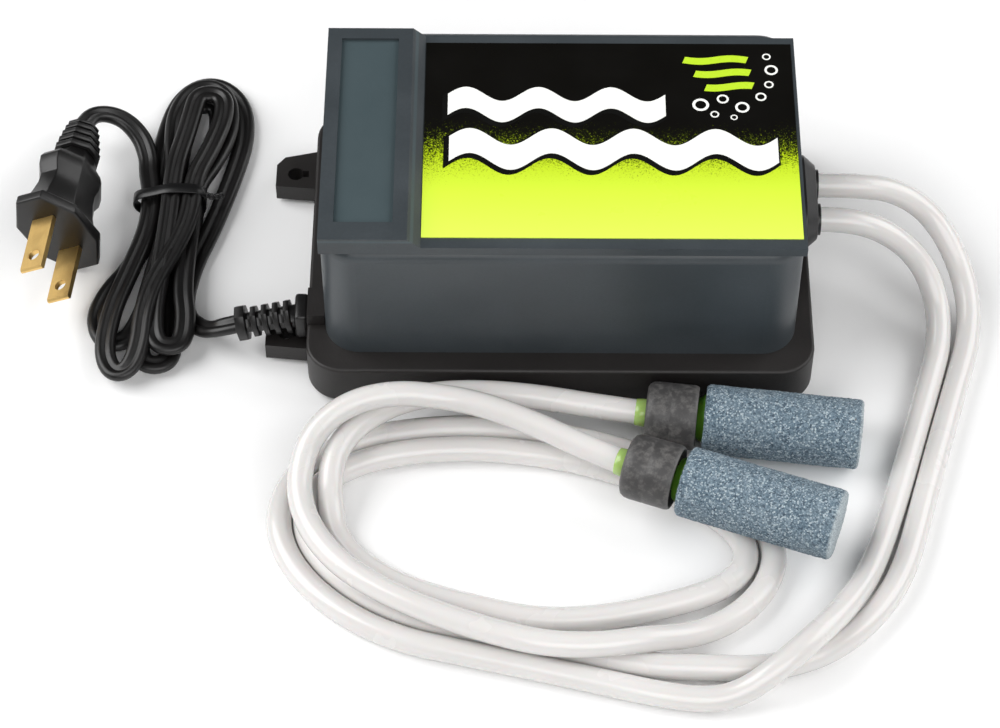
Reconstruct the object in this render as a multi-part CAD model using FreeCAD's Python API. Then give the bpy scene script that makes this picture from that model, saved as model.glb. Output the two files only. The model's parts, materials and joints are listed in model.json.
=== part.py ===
import FreeCAD, Part
import math
import os

# Twin-outlet aquarium air pump, millimetres.
# The origin is on the surface that the pump stands on, under the centre of its tray.
# +X points at the air outlets, +Y at the back of the pump and +Z up.

V = FreeCAD.Vector
X_AXIS, Y_AXIS, Z_AXIS = V(1, 0, 0), V(0, 1, 0), V(0, 0, 1)

# ---------------------------------------------------------------- driving dimensions
CLEAR = 0.1                 # radial or face clearance of pieces that are laid in
SLIDE = 0.05                # radial clearance of a pin in its bore

TRAY_W, TRAY_D = 128.0, 88.0
FOOT_H = 1.5                # height of the rubber feet below the tray
TRAY_TOP = 14.5             # height of the tray's rim
TRAY_WALL, TRAY_FLOOR, RIM_T = 2.2, 2.5, 2.6
TRAY_CORNER = 9.0
LIP_H, LIP_T = 3.0, 1.6     # upstand inside the cover

SIDE_LEDGE, FRONT_LEDGE = 4.7, 6.0     # width of the rim that shows beside the cover
COVER_TOP = 52.4
COVER_WALL, COVER_ROOF = 2.0, 2.0
COVER_CORNER, COVER_EDGE = 9.0, 3.4
PLATE_SIDE, PLATE_FRONT_IN, PLATE_BACK_IN = 0.1, 0.6, 4.9      # plate edges inside the cover's
PLATE_T = 2.0
BAR_W, BAR_H, BAR_SLOPE = 21.6, 3.0, 3.2
PANEL_FRAME, PANEL_DEPTH = 3.6, 1.0
LABEL_D, LABEL_T = 64.9, 0.25
LABEL_SIDE, LABEL_BACK = 0.9, 2.4    # bare strips beside and behind the label

EAR_OUT, EAR_T = 11.1, 5.0
EAR_HOLE_R, EAR_SLOT_W, EAR_SLOT_L = 2.1, 2.2, 3.4
EAR_HOLE_IN = 5.9           # hole centre to the tray's side
EAR_HOLE_PITCH, EAR_MID_Y = 54.0, 1.5

POST_SIDE_IN, POST_FRONT_IN = 9.3, 7.5   # post centres inside the cover's sides
POST_R, SCREW_R, SCREW_HEAD_R, SCREW_HEAD_H = 4.2, 1.5, 2.9, 2.2
SCREW_SEAT = 8.0
FOOT_SIDE_IN, FOOT_FRONT_IN = 8.5, 9.0   # rubber feet inside the tray's sides
FOOT_R, FOOT_PEG_R = 4.5, 1.6

CORD_Y, CORD_Z = -24.7, 12.5          # where the power cord enters
RELIEF_STEM_R, RELIEF_ROOT, RELIEF_ROOT_T = 2.8, 8.0, 3.3
RELIEF_LEN, RIB_PITCH, RIB_T = 15.0, 2.9, 1.6

OUTLET_Y, OUTLET_Z, OUTLET_PITCH = -1.0, 30.0, 11.5
OUTLET_L, OUTLET_H, OUTLET_OUT = 27.0, 15.0, 5.6
OUTLET_SIDE, OUTLET_TAPER, OUTLET_EDGE = 2.6, 2.6, 0.7
NOZZLE_COLLAR_R, NOZZLE_COLLAR_H, NOZZLE_R, NOZZLE_BORE_R = 4.0, 0.8, 2.05, 1.2
NOZZLE_IN = 8.0             # barb length inside the cover

MID_X, MID_Z = -4.0, 16.0             # centre of the vibrating mechanism
END_ROOM, BACK_ROOM = 3.3, 10.0       # left head to the cover's side, arm pivots to its back
WEB_D, WEB_H = 10.0, 10.0
CORE_TO_HEAD, HEAD_TO_PIVOT = 14.0, 18.0
SHOE_T, SHOE_D, SHOE_H = 5.0, 14.0, 18.0
BOBBIN_T, FLANGE_D, FLANGE_H = 1.2, 24.0, 19.0
GAP = 1.6                   # air gap between a pole shoe and a magnet
MAGNET_T, MAGNET_D, MAGNET_H = 3.5, 12.0, 14.0
YOKE_T = 1.0
ARM_T, ARM_H, ARM_NOSE = 3.0, 12.0, 8.0
PIN_R, EYE_R = 1.5, 4.5
HEAD_D, HEAD_H = 28.0, 20.0
CLAMP_ROOM = 2.0            # arm side of the diaphragm to its clamped rim
HUB_H, HUB_R = 1.5, 3.5
WASHER_T, WASHER_R = 0.8, 4.8
RUBBER_T, FLANGE_R, CONE_R = 1.2, 10.0, 7.0
BODY_T, CAVITY_R, CAVITY_T, CHAMBER_T = 7.0, 7.5, 3.0, 8.6
PORT_R, INTAKE_DROP, EXHAUST_RISE = 1.4, 2.8, 4.4
FLAP_T, FLAP_W, FLAP_L = 0.6, 5.6, 6.4
HOSE_R, HOSE_BORE_R = 3.0, 2.1

AIR_TUBE = 6.35             # outside diameter of the free air tubes
CORD = 4.0                  # round equivalent of the flat power cord
STONE_R, STONE_L, STONE_EDGE = 8.75, 39.1, 0.8
RING_R, RING_L, RING_EDGE = 8.15, 12.8, 2.0
CUP_R, CUP_L, STEM_R = 6.2, 1.8, 3.1

# heights and faces that follow from the sizes above
FLOOR_Z = FOOT_H + TRAY_FLOOR
COVER_W, COVER_D = TRAY_W - 2 * SIDE_LEDGE, TRAY_D - 2 * FRONT_LEDGE
PLATE_W = COVER_W - 2 * PLATE_SIDE
PLATE_FRONT, PLATE_BACK = -COVER_D / 2 + PLATE_FRONT_IN, COVER_D / 2 - PLATE_BACK_IN
POST_X, POST_Y = COVER_W / 2 - POST_SIDE_IN, COVER_D / 2 - POST_FRONT_IN
FOOT_X, FOOT_Y = TRAY_W / 2 - FOOT_SIDE_IN, TRAY_D / 2 - FOOT_FRONT_IN
COVER_IN_X = COVER_W / 2 - COVER_WALL
COVER_IN_Y = COVER_D / 2 - COVER_WALL
ROOF_Z = COVER_TOP - COVER_ROOF
PLATE_TOP = COVER_TOP + PLATE_T
PIVOT_Y = COVER_IN_Y - BACK_ROOM
HEAD_Y = PIVOT_Y - HEAD_TO_PIVOT
CORE_Y = HEAD_Y - CORE_TO_HEAD
SHOE_TO_HEAD_OUT = (GAP + MAGNET_T + YOKE_T + ARM_T + HUB_H + WASHER_T + CLAMP_ROOM + BODY_T + CHAMBER_T)
WEB_HALF = COVER_IN_X + MID_X - END_ROOM - SHOE_T - SHOE_TO_HEAD_OUT   # the coil fills what is left
SHOE_OUT = WEB_HALF + SHOE_T
ARM_IN = SHOE_OUT + GAP + MAGNET_T + YOKE_T
ARM_OUT = ARM_IN + ARM_T
PIVOT_X = ARM_IN + ARM_T / 2
WASHER_X = ARM_OUT + HUB_H
RUBBER_X = WASHER_X + WASHER_T
SEAT_X = RUBBER_X + CLAMP_ROOM               # face where the diaphragm's rim is clamped
BODY_OUT = SEAT_X + BODY_T
VALVE_IN = SEAT_X + RUBBER_T + CAVITY_T
HEAD_OUT = BODY_OUT + CHAMBER_T
OUTLET_FACE = COVER_W / 2 + OUTLET_OUT
NOZZLE_FACE = OUTLET_FACE + NOZZLE_COLLAR_H
OUTLET_YS = (OUTLET_Y + OUTLET_PITCH / 2, OUTLET_Y - OUTLET_PITCH / 2)


# ---------------------------------------------------------------- small helpers
def box(x0, x1, y0, y1, z0, z1):
    low_x, low_y, low_z = min(x0, x1), min(y0, y1), min(z0, z1)
    return Part.makeBox(abs(x1 - x0), abs(y1 - y0), abs(z1 - z0), V(low_x, low_y, low_z))


def rod(radius, start, end):
    start, end = V(*start), V(*end)
    return Part.makeCylinder(radius, start.distanceToPoint(end), start, end - start)


def plan(width, depth, corner, z, centre=(0.0, 0.0)):
    """A rounded rectangle lying flat at height z."""
    hx, hy, r = width / 2, depth / 2, corner
    k = r * (1 - math.sqrt(0.5))
    cx, cy = centre
    edges = []
    for sx, sy in ((1, -1), (1, 1), (-1, 1), (-1, -1)):
        first = (hx * sx, (hy - r) * sy) if sx * sy > 0 else ((hx - r) * sx, hy * sy)
        last = ((hx - r) * sx, hy * sy) if sx * sy > 0 else (hx * sx, (hy - r) * sy)
        middle = ((hx - k) * sx, (hy - k) * sy)
        three = [V(cx + p[0], cy + p[1], z) for p in (first, middle, last)]
        edges.append(Part.Arc(*three).toShape())
    joined = []
    for i, arc in enumerate(edges):
        joined.append(arc)
        following = edges[(i + 1) % 4]
        joined.append(Part.makeLine(arc.lastVertex().Point, following.firstVertex().Point))
    return Part.Wire(Part.__sortEdges__(joined))


def slab(width, depth, corner, z0, z1, centre=(0.0, 0.0)):
    return Part.Face(plan(width, depth, corner, z0, centre)).extrude(V(0, 0, z1 - z0))


def polygon(points, along):
    corners = [V(*p) for p in points]
    return Part.Face(Part.makePolygon(corners + corners[:1])).extrude(V(*along))


def fuse(solids):
    whole = solids[0].multiFuse(solids[1:]) if len(solids) > 1 else solids[0]
    return whole.removeSplitter()


def screw(head_r, head_h, shank_r, length, seat, drive):
    """A pan-head screw: its head stands on the seat, its shank goes along drive."""
    seat, drive = V(*seat), V(*drive).normalize()
    head = Part.makeCylinder(head_r, head_h, seat, drive * -1)
    slot = Part.makeBox(head_r * 2.4, 0.7, 0.8, V(-head_r * 1.2, -0.35, -0.4))
    slot.Placement = FreeCAD.Placement(seat - drive * (head_h - 0.1), FreeCAD.Rotation(Z_AXIS, drive))
    return fuse([head, Part.makeCylinder(shank_r, length, seat, drive)]).cut(slot)


def small_screw(seat, length):
    return screw(1.9, 1.3, 1.0, length, seat, (0, 0, -1))


def path_edges(points):
    """Straight runs joined by tangent arcs, each as large as its two runs allow."""
    stations = [V(*p) for p in points]
    edges, radii, cursor = [], [], stations[0]
    for before, here, after in zip(stations, stations[1:], stations[2:]):
        come, go = (here - before), (after - here)
        setback = 0.45 * min(come.Length, go.Length)
        come, go = V(come).normalize(), V(go).normalize()
        half = come.getAngle(go) / 2
        radius = setback / math.tan(half)
        inward = (go - come).normalize()
        start, end = here - come * setback, here + go * setback
        middle = here + inward * (radius / math.cos(half) - radius)
        edges.append(Part.LineSegment(cursor, start).toShape())
        edges.append(Part.Arc(start, middle, end).toShape())
        radii.append(radius)
        cursor = end
    edges.append(Part.LineSegment(cursor, stations[-1]).toShape())
    return edges, radii


def swept(points, radius):
    edges, radii = path_edges(points)
    path = Part.Wire(edges)
    start = V(*points[0])
    ring = Part.Wire([Part.makeCircle(radius, start, V(*points[1]) - start)])
    return path.makePipeShell([ring], True, False), path.Length, radii


def cord(name, points, diameter):
    solid, length, radii = swept(points, diameter / 2)
    ideal = math.pi * diameter ** 2 / 4 * length
    print(name, "length", round(length, 1), "volume ratio", round(solid.Volume / ideal, 4))
    print("   radii", [round(r, 1) for r in radii])
    return solid


def hose(points):
    outer, _, _ = swept(points, HOSE_R)
    inner, _, _ = swept(points, HOSE_BORE_R)
    return outer.cut(inner)


def sides(make):
    """The same piece for the left (-1) and the right (+1) half of the mechanism."""
    return {"left": make(-1), "right": make(1)}


def mech_x(side, distance):
    return MID_X + side * distance


nodes = {}


# ---------------------------------------------------------------- tray
def ear(hole_y):
    """A screw ear at the tray's left side with a keyhole that opens towards the tray."""
    root, hole_x = -TRAY_W / 2 + TRAY_WALL / 2, -TRAY_W / 2 - EAR_HOLE_IN
    tip = -TRAY_W / 2 - EAR_OUT
    outline = [(root, -5.4), (root, 8.3), (-TRAY_W / 2 - 9.0, 5.9), (tip, 3.2), (tip, -4.2)]
    solid = polygon([(x, hole_y + y, FOOT_H) for x, y in outline], (0, 0, EAR_T))
    slot = box(hole_x, hole_x + EAR_SLOT_L, hole_y - EAR_SLOT_W / 2, hole_y + EAR_SLOT_W / 2,
               FOOT_H - 1, FOOT_H + EAR_T + 1)
    hole = rod(EAR_HOLE_R, (hole_x, hole_y, FOOT_H - 1), (hole_x, hole_y, FOOT_H + EAR_T + 1))
    return solid.cut(fuse([slot, hole]))


def filter_cup_sizes():
    return {"x": 0.0, "y": 24.0, "r": 9.5, "depth": 4.2, "wall": 1.6}


def tray():
    inner_w, inner_d = TRAY_W - 2 * TRAY_WALL, TRAY_D - 2 * TRAY_WALL
    lip_w, lip_d = 2 * (COVER_IN_X - CLEAR), 2 * (COVER_IN_Y - CLEAR)
    lip_corner = COVER_CORNER - COVER_WALL
    shell = slab(TRAY_W, TRAY_D, TRAY_CORNER, FOOT_H, TRAY_TOP)
    low_edges = [e for e in shell.Edges if e.BoundBox.ZMax < FOOT_H + 0.01]
    shell = shell.makeFillet(1.6, low_edges)
    high_edges = [e for e in shell.Edges if e.BoundBox.ZMin > TRAY_TOP - 0.01]
    shell = shell.makeFillet(0.8, high_edges)
    hollow = slab(inner_w, inner_d, TRAY_CORNER - TRAY_WALL, FLOOR_Z, TRAY_TOP - RIM_T)
    lip = slab(lip_w, lip_d, lip_corner, TRAY_TOP - 1, TRAY_TOP + LIP_H)
    mouth = slab(lip_w - 2 * LIP_T, lip_d - 2 * LIP_T, lip_corner - LIP_T, FLOOR_Z + 1,
                 TRAY_TOP + LIP_H + 1)
    adds = [shell.cut(hollow), lip]
    adds += [ear(EAR_MID_Y + s * EAR_HOLE_PITCH / 2) for s in (-1, 1)]
    block_in = -COVER_W / 2 - 2 * CLEAR
    adds.append(box(-TRAY_W / 2, block_in, CORD_Y - 4.6, CORD_Y + 4.6, TRAY_TOP - 1, TRAY_TOP + 3.6))
    body = fuse(adds).cut(mouth)
    # posts and seats that stand on the floor
    cup = filter_cup_sizes()
    stands = []
    for sx in (-1, 1):
        for sy in (-1, 1):
            x, y = sx * POST_X, sy * POST_Y
            stands.append(rod(POST_R, (x, y, FLOOR_Z - 1), (x, y, TRAY_TOP)))
    for side in (-1, 1):
        saddle_x = mech_x(side, WEB_HALF + SHOE_T / 2)
        stands.append(box(saddle_x - 2, saddle_x + 2, CORE_Y - 5, CORE_Y + 5, FLOOR_Z - 1,
                          MID_Z - SHOE_H / 2))
        for step in (-1, 1):
            stands.append(rod(3.0, (saddle_x, CORE_Y + step * 12.0, FLOOR_Z - 1),
                              (saddle_x, CORE_Y + step * 12.0, FLOOR_Z + 1)))
            head_x = mech_x(side, SEAT_X + BODY_T / 2)
            foot_y = HEAD_Y + step * (HEAD_D / 2 + 2.5)
            stands.append(rod(3.0, (head_x, foot_y, FLOOR_Z - 1), (head_x, foot_y, head_foot_z())))
        pin_x = mech_x(side, PIVOT_X)
        stands.append(rod(4.0, (pin_x, PIVOT_Y, FLOOR_Z - 1), (pin_x, PIVOT_Y, arm_low() - 0.5)))
        bridge_x = mech_x(side, 12.0)
        stands.append(rod(3.5, (bridge_x, PIVOT_Y, FLOOR_Z - 1), (bridge_x, PIVOT_Y, bridge_low())))
    stands.append(rod(cup["r"] + cup["wall"], (cup["x"], cup["y"], FLOOR_Z - 1),
                      (cup["x"], cup["y"], FOOT_H + cup["depth"] + cup["wall"])))
    body = fuse([body] + stands)
    # holes
    holes = []
    for sx in (-1, 1):
        for sy in (-1, 1):
            x, y = sx * POST_X, sy * POST_Y
            holes.append(rod(SCREW_HEAD_R + 0.3, (x, y, 0), (x, y, SCREW_SEAT)))
            holes.append(rod(SCREW_R + 0.2, (x, y, 0), (x, y, TRAY_TOP + 1)))
            holes.append(rod(FOOT_PEG_R, (sx * FOOT_X, sy * FOOT_Y, 0), (sx * FOOT_X, sy * FOOT_Y, 9)))
    for side in (-1, 1):
        saddle_x = mech_x(side, WEB_HALF + SHOE_T / 2)
        head_x = mech_x(side, SEAT_X + BODY_T / 2)
        for step in (-1, 1):
            y = CORE_Y + step * 12.0
            holes.append(rod(1.0, (saddle_x, y, FOOT_H + 0.7), (saddle_x, y, FLOOR_Z + 3)))
            y = HEAD_Y + step * (HEAD_D / 2 + 2.5)
            holes.append(rod(1.0, (head_x, y, FOOT_H + 0.7), (head_x, y, head_foot_z() + 3)))
        pin_x = mech_x(side, PIVOT_X)
        holes.append(rod(PIN_R, (pin_x, PIVOT_Y, FLOOR_Z), (pin_x, PIVOT_Y, arm_low())))
        bridge_x = mech_x(side, 12.0)
        holes.append(rod(1.0, (bridge_x, PIVOT_Y, bridge_low() - 9), (bridge_x, PIVOT_Y, bridge_low() + 1)))
    holes.append(rod(cup["r"], (cup["x"], cup["y"], 0), (cup["x"], cup["y"], FOOT_H + cup["depth"])))
    for i in range(6):
        a = math.radians(60 * i)
        x, y = cup["x"] + 5 * math.cos(a), cup["y"] + 5 * math.sin(a)
        holes.append(rod(1.1, (x, y, FOOT_H), (x, y, FLOOR_Z + 8)))
    holes.append(rod(RELIEF_STEM_R + CLEAR, (-TRAY_W / 2 - 1, CORD_Y, CORD_Z),
                     (-COVER_IN_X + LIP_T + 1, CORD_Y, CORD_Z)))
    return body.cut(fuse(holes))


def head_foot_z():
    return MID_Z - HEAD_H / 2


def arm_low():
    return MID_Z - ARM_H / 2


def bridge_low():
    return MID_Z + ARM_H / 2 + 1.0


# ---------------------------------------------------------------- cover
def cover():
    shell = slab(COVER_W, COVER_D, COVER_CORNER, TRAY_TOP, COVER_TOP)
    high_edges = [e for e in shell.Edges if e.BoundBox.ZMin > COVER_TOP - 0.01]
    shell = shell.makeFillet(COVER_EDGE, high_edges)
    hollow = slab(2 * COVER_IN_X, 2 * COVER_IN_Y, COVER_CORNER - COVER_WALL, TRAY_TOP - 1, ROOF_Z)
    hollow_top = [e for e in hollow.Edges if e.BoundBox.ZMin > ROOF_Z - 0.01]
    hollow = hollow.makeFillet(COVER_EDGE - COVER_WALL / 2, hollow_top)
    left, right = -PLATE_W / 2, PLATE_W / 2
    plate = box(left, right, PLATE_FRONT, PLATE_BACK, COVER_TOP - 0.5, PLATE_TOP)
    bar_top = PLATE_TOP + BAR_H
    bar = polygon([(left, PLATE_FRONT, PLATE_TOP - 0.5), (left, PLATE_FRONT, bar_top),
                   (left + BAR_W, PLATE_FRONT, bar_top),
                   (left + BAR_W + BAR_SLOPE, PLATE_FRONT, PLATE_TOP),
                   (left + BAR_W + BAR_SLOPE, PLATE_FRONT, PLATE_TOP - 0.5)],
                  (0, PLATE_BACK - PLATE_FRONT, 0))
    body = fuse([shell.cut(hollow), plate, bar])
    cuts = [box(left + PANEL_FRAME, left + BAR_W - PANEL_FRAME, PLATE_FRONT + PANEL_FRAME + 2,
                PLATE_BACK - PANEL_FRAME, bar_top - PANEL_DEPTH, bar_top + 1)]
    posts = []
    for sx in (-1, 1):
        for sy in (-1, 1):
            x, y = sx * POST_X, sy * POST_Y
            posts.append(rod(POST_R - 0.6, (x, y, TRAY_TOP + 2 * CLEAR), (x, y, ROOF_Z + 0.5)))
            cuts.append(rod(SCREW_R, (x, y, TRAY_TOP - 1), (x, y, TRAY_TOP + 18)))
    body = fuse([body] + posts)
    cuts.append(box(-COVER_W / 2 - 1, -COVER_IN_X + 1, CORD_Y - RELIEF_STEM_R - CLEAR,
                    CORD_Y + RELIEF_STEM_R + CLEAR, TRAY_TOP - 1, CORD_Z + RELIEF_STEM_R + CLEAR))
    cuts.append(oblong(OUTLET_L - 8, OUTLET_H - 6, COVER_IN_X - 1, COVER_W / 2 + 1))
    return body.cut(fuse(cuts))


def oblong(length, height, x0, x1, taper=0.0):
    """A bar with round ends lying along Y, from x0 to x1, that may narrow by taper all round."""
    wires = []
    for x, shrink in ((x0, 0.0), (x1, taper)):
        r = height / 2 - shrink
        a = length / 2 - height / 2
        y, z = OUTLET_Y, OUTLET_Z
        edges = [Part.makeLine(V(x, y - a, z - r), V(x, y + a, z - r)),
                 Part.Arc(V(x, y + a, z - r), V(x, y + a + r, z), V(x, y + a, z + r)).toShape(),
                 Part.makeLine(V(x, y + a, z + r), V(x, y - a, z + r)),
                 Part.Arc(V(x, y - a, z + r), V(x, y - a - r, z), V(x, y - a, z - r)).toShape()]
        wires.append(Part.Wire(edges))
    return Part.makeLoft(wires, True, True)


def label():
    bar_foot = -PLATE_W / 2 + BAR_W + BAR_SLOPE
    return box(bar_foot + CLEAR, PLATE_W / 2 - LABEL_SIDE, PLATE_BACK - LABEL_BACK - LABEL_D,
               PLATE_BACK - LABEL_BACK, PLATE_TOP, PLATE_TOP + LABEL_T)


def cover_screws():
    seats = [(sx * POST_X, sy * POST_Y, SCREW_SEAT) for sx in (-1, 1) for sy in (-1, 1)]
    return Part.makeCompound([screw(SCREW_HEAD_R, SCREW_HEAD_H, SCREW_R, 19, s, (0, 0, 1)) for s in seats])


def rubber_feet():
    feet = []
    for sx in (-1, 1):
        for sy in (-1, 1):
            x, y = sx * FOOT_X, sy * FOOT_Y
            pad = rod(FOOT_R, (x, y, 0), (x, y, FOOT_H))
            pad = pad.makeFillet(0.5, [e for e in pad.Edges if e.BoundBox.ZMax < 0.01])
            neck = rod(FOOT_PEG_R, (x, y, FOOT_H - 0.2), (x, y, FLOOR_Z))
            knob = Part.makeCone(FOOT_PEG_R + 0.7, FOOT_PEG_R - 0.6, 2.6, V(x, y, FLOOR_Z), Z_AXIS)
            feet.append(fuse([pad, neck, knob]))
    return Part.makeCompound(feet)


def filter_felt():
    cup = filter_cup_sizes()
    return rod(cup["r"] - CLEAR, (cup["x"], cup["y"], FOOT_H + 1.2),
               (cup["x"], cup["y"], FOOT_H + cup["depth"]))


def filter_cover():
    cup = filter_cup_sizes()
    disc = rod(cup["r"] - CLEAR, (cup["x"], cup["y"], FOOT_H), (cup["x"], cup["y"], FOOT_H + 1.2))
    slots = [box(cup["x"] - 5, cup["x"] + 5, cup["y"] + k * 3.0 - 0.7, cup["y"] + k * 3.0 + 0.7, 0,
                 FOOT_H + 2) for k in (-1.5, -0.5, 0.5, 1.5)]
    return disc.cut(Part.makeCompound(slots))


# ---------------------------------------------------------------- outlet
def outlet_block():
    wall_out = COVER_W / 2
    dome = oblong(OUTLET_L, OUTLET_H, wall_out, wall_out + OUTLET_SIDE)
    crown = oblong(OUTLET_L, OUTLET_H, wall_out + OUTLET_SIDE, OUTLET_FACE, OUTLET_TAPER)
    stem = oblong(OUTLET_L - 8 - 2 * CLEAR, OUTLET_H - 6 - 2 * CLEAR, COVER_IN_X - 1.5, wall_out + 1)
    catch = oblong(OUTLET_L - 6, OUTLET_H - 4, COVER_IN_X - 1.5, COVER_IN_X - CLEAR)
    bores = [rod(NOZZLE_R, (COVER_IN_X - 4, y, OUTLET_Z), (OUTLET_FACE + 1, y, OUTLET_Z)) for y in OUTLET_YS]
    outside = fuse([dome, crown])
    rim = [e for e in outside.Edges if e.BoundBox.XMin > OUTLET_FACE - CLEAR]
    outside = outside.makeFillet(OUTLET_EDGE, rim)
    return fuse([outside, stem, catch]).cut(fuse(bores))


def outlet_nozzle(y):
    collar = rod(NOZZLE_COLLAR_R, (OUTLET_FACE, y, OUTLET_Z), (NOZZLE_FACE, y, OUTLET_Z))
    stem = rod(NOZZLE_R, (COVER_IN_X - NOZZLE_IN, y, OUTLET_Z), (OUTLET_FACE + 0.3, y, OUTLET_Z))
    bore = rod(NOZZLE_BORE_R, (COVER_IN_X - NOZZLE_IN - 1, y, OUTLET_Z), (NOZZLE_FACE - 0.4, y, OUTLET_Z))
    return fuse([collar, stem]).cut(bore)


# ---------------------------------------------------------------- magnet coil
def core():
    web = box(mech_x(-1, WEB_HALF), mech_x(1, WEB_HALF), CORE_Y - WEB_D / 2, CORE_Y + WEB_D / 2,
              MID_Z - WEB_H / 2, MID_Z + WEB_H / 2)
    shoes = [box(mech_x(s, WEB_HALF), mech_x(s, SHOE_OUT), CORE_Y - SHOE_D / 2, CORE_Y + SHOE_D / 2,
                 MID_Z - SHOE_H / 2, MID_Z + SHOE_H / 2) for s in (-1, 1)]
    return fuse([web] + shoes)


def around_web(half_x, depth, height):
    return box(MID_X - half_x, MID_X + half_x, CORE_Y - depth / 2, CORE_Y + depth / 2,
               MID_Z - height / 2, MID_Z + height / 2)


def bobbin():
    half = WEB_HALF - 2 * CLEAR
    tube = around_web(half, WEB_D + 2 * BOBBIN_T, WEB_H + 2 * BOBBIN_T)
    flanges = [around_web(half, FLANGE_D, FLANGE_H).cut(around_web(half - BOBBIN_T, 99, 99))]
    bore = around_web(half + 1, WEB_D + 2 * CLEAR, WEB_H + 2 * CLEAR)
    return fuse([tube] + flanges).cut(bore)


def winding():
    half = WEB_HALF - 2 * CLEAR - BOBBIN_T
    turns = around_web(half, FLANGE_D - 2.4, FLANGE_H - 2.0)
    turns = turns.makeFillet(2.5, [e for e in turns.Edges if abs(e.tangentAt(0).x) > 0.9])
    return turns.cut(around_web(half + 1, WEB_D + 2 * BOBBIN_T, WEB_H + 2 * BOBBIN_T))


def core_straps():
    straps = []
    inner, top = SHOE_D / 2 + CLEAR, MID_Z + SHOE_H / 2 + CLEAR
    foot_z = FLOOR_Z + 1
    for side in (-1, 1):
        x0, x1 = mech_x(side, WEB_HALF + 1), mech_x(side, SHOE_OUT - 1)
        outer = box(x0, x1, CORE_Y - inner - 1, CORE_Y + inner + 1, foot_z, top + 1)
        outer = outer.cut(box(x0 - 9, x1 + 9, CORE_Y - inner, CORE_Y + inner, foot_z - 1, top))
        feet = box(x0, x1, CORE_Y - 15, CORE_Y + 15, foot_z, foot_z + 1)
        feet = feet.cut(box(x0 - 9, x1 + 9, CORE_Y - inner - 0.5, CORE_Y + inner + 0.5, 0, 30))
        holes = [rod(1.1, ((x0 + x1) / 2, CORE_Y + s * 12, 0), ((x0 + x1) / 2, CORE_Y + s * 12, 15))
                 for s in (-1, 1)]
        straps.append(fuse([outer, feet]).cut(Part.makeCompound(holes)))
    return Part.makeCompound(straps)


def core_screws():
    seats = [(mech_x(side, WEB_HALF + SHOE_T / 2), CORE_Y + s * 12.0, FLOOR_Z + 2)
             for side in (-1, 1) for s in (-1, 1)]
    return [small_screw(seat, 3.6) for seat in seats]


# ---------------------------------------------------------------- swinging arms
def swing_arm(side):
    low, high = arm_low(), arm_low() + ARM_H
    x0, x1 = mech_x(side, ARM_IN), mech_x(side, ARM_OUT)
    bar = box(x0, x1, CORE_Y - ARM_NOSE, PIVOT_Y, low, high)
    tab_z = MAGNET_H / 2 + 0.5 + CLEAR
    tab_in = mech_x(side, ARM_IN - YOKE_T)
    tabs = [box(tab_in, x1, CORE_Y - 4, CORE_Y + 4, MID_Z + s * tab_z, MID_Z + s * (tab_z + 1.2))
            for s in (-1, 1)]
    backs = [box(x0, x1, CORE_Y - 4, CORE_Y + 4, MID_Z + s * 5, MID_Z + s * (tab_z + 1.2)) for s in (-1, 1)]
    pin_x = mech_x(side, PIVOT_X)
    eye = rod(EYE_R, (pin_x, PIVOT_Y, low), (pin_x, PIVOT_Y, high))
    hub = rod(HUB_R, (x1 - side, HEAD_Y, MID_Z), (x1 + side * HUB_H, HEAD_Y, MID_Z))
    whole = fuse([bar, eye, hub] + tabs + backs)
    pin_bore = rod(PIN_R + SLIDE, (pin_x, PIVOT_Y, low - 1), (pin_x, PIVOT_Y, high + 1))
    screw_bore = rod(1.0, (x0 - side, HEAD_Y, MID_Z), (x1 + side * 9, HEAD_Y, MID_Z))
    return whole.cut(fuse([pin_bore, screw_bore]))


def magnet(side):
    face = SHOE_OUT + GAP
    return box(mech_x(side, face), mech_x(side, face + MAGNET_T), CORE_Y - MAGNET_D / 2,
               CORE_Y + MAGNET_D / 2, MID_Z - MAGNET_H / 2, MID_Z + MAGNET_H / 2)


def magnet_yoke(side):
    return box(mech_x(side, ARM_IN - YOKE_T), mech_x(side, ARM_IN), CORE_Y - MAGNET_D / 2 - 0.5,
               CORE_Y + MAGNET_D / 2 + 0.5, MID_Z - MAGNET_H / 2 - 0.5, MID_Z + MAGNET_H / 2 + 0.5)


def turned(profile, side):
    """Turns (radius, distance) points about the diaphragm's axis."""
    points = [V(mech_x(side, x), HEAD_Y + r, MID_Z) for r, x in profile]
    face = Part.Face(Part.makePolygon(points + points[:1]))
    return face.revolve(V(0, HEAD_Y, MID_Z), X_AXIS, 360)


def diaphragm(side):
    x, t = RUBBER_X, RUBBER_T
    hub, inside, rim = WASHER_R + 0.2, CONE_R - 0.5, SEAT_X
    return turned([(1.1, x), (hub, x), (CONE_R, rim), (FLANGE_R, rim), (FLANGE_R, rim + t), (inside, rim + t),
                   (hub - 0.5, x + t), (1.1, x + t)], side)


def diaphragm_clamp(side):
    """Two washers and the screw that holds the diaphragm to its arm."""
    inner = turned([(1.1, WASHER_X), (WASHER_R, WASHER_X), (WASHER_R, RUBBER_X), (1.1, RUBBER_X)], side)
    x = RUBBER_X + RUBBER_T
    outer = turned([(1.1, x), (WASHER_R - 0.8, x), (WASHER_R - 0.8, x + 0.6), (1.1, x + 0.6)], side)
    bolt = screw(1.9, 1.1, 1.0, 6.5, (mech_x(side, x + 0.6), HEAD_Y, MID_Z), (-side, 0, 0))
    return Part.makeCompound([inner, outer, bolt])


def pivot_pins():
    ends = [mech_x(side, PIVOT_X) for side in (-1, 1)]
    return Part.makeCompound([rod(PIN_R, (x, PIVOT_Y, FLOOR_Z + 0.5), (x, PIVOT_Y, bridge_low() + 4))
                              for x in ends])


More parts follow.
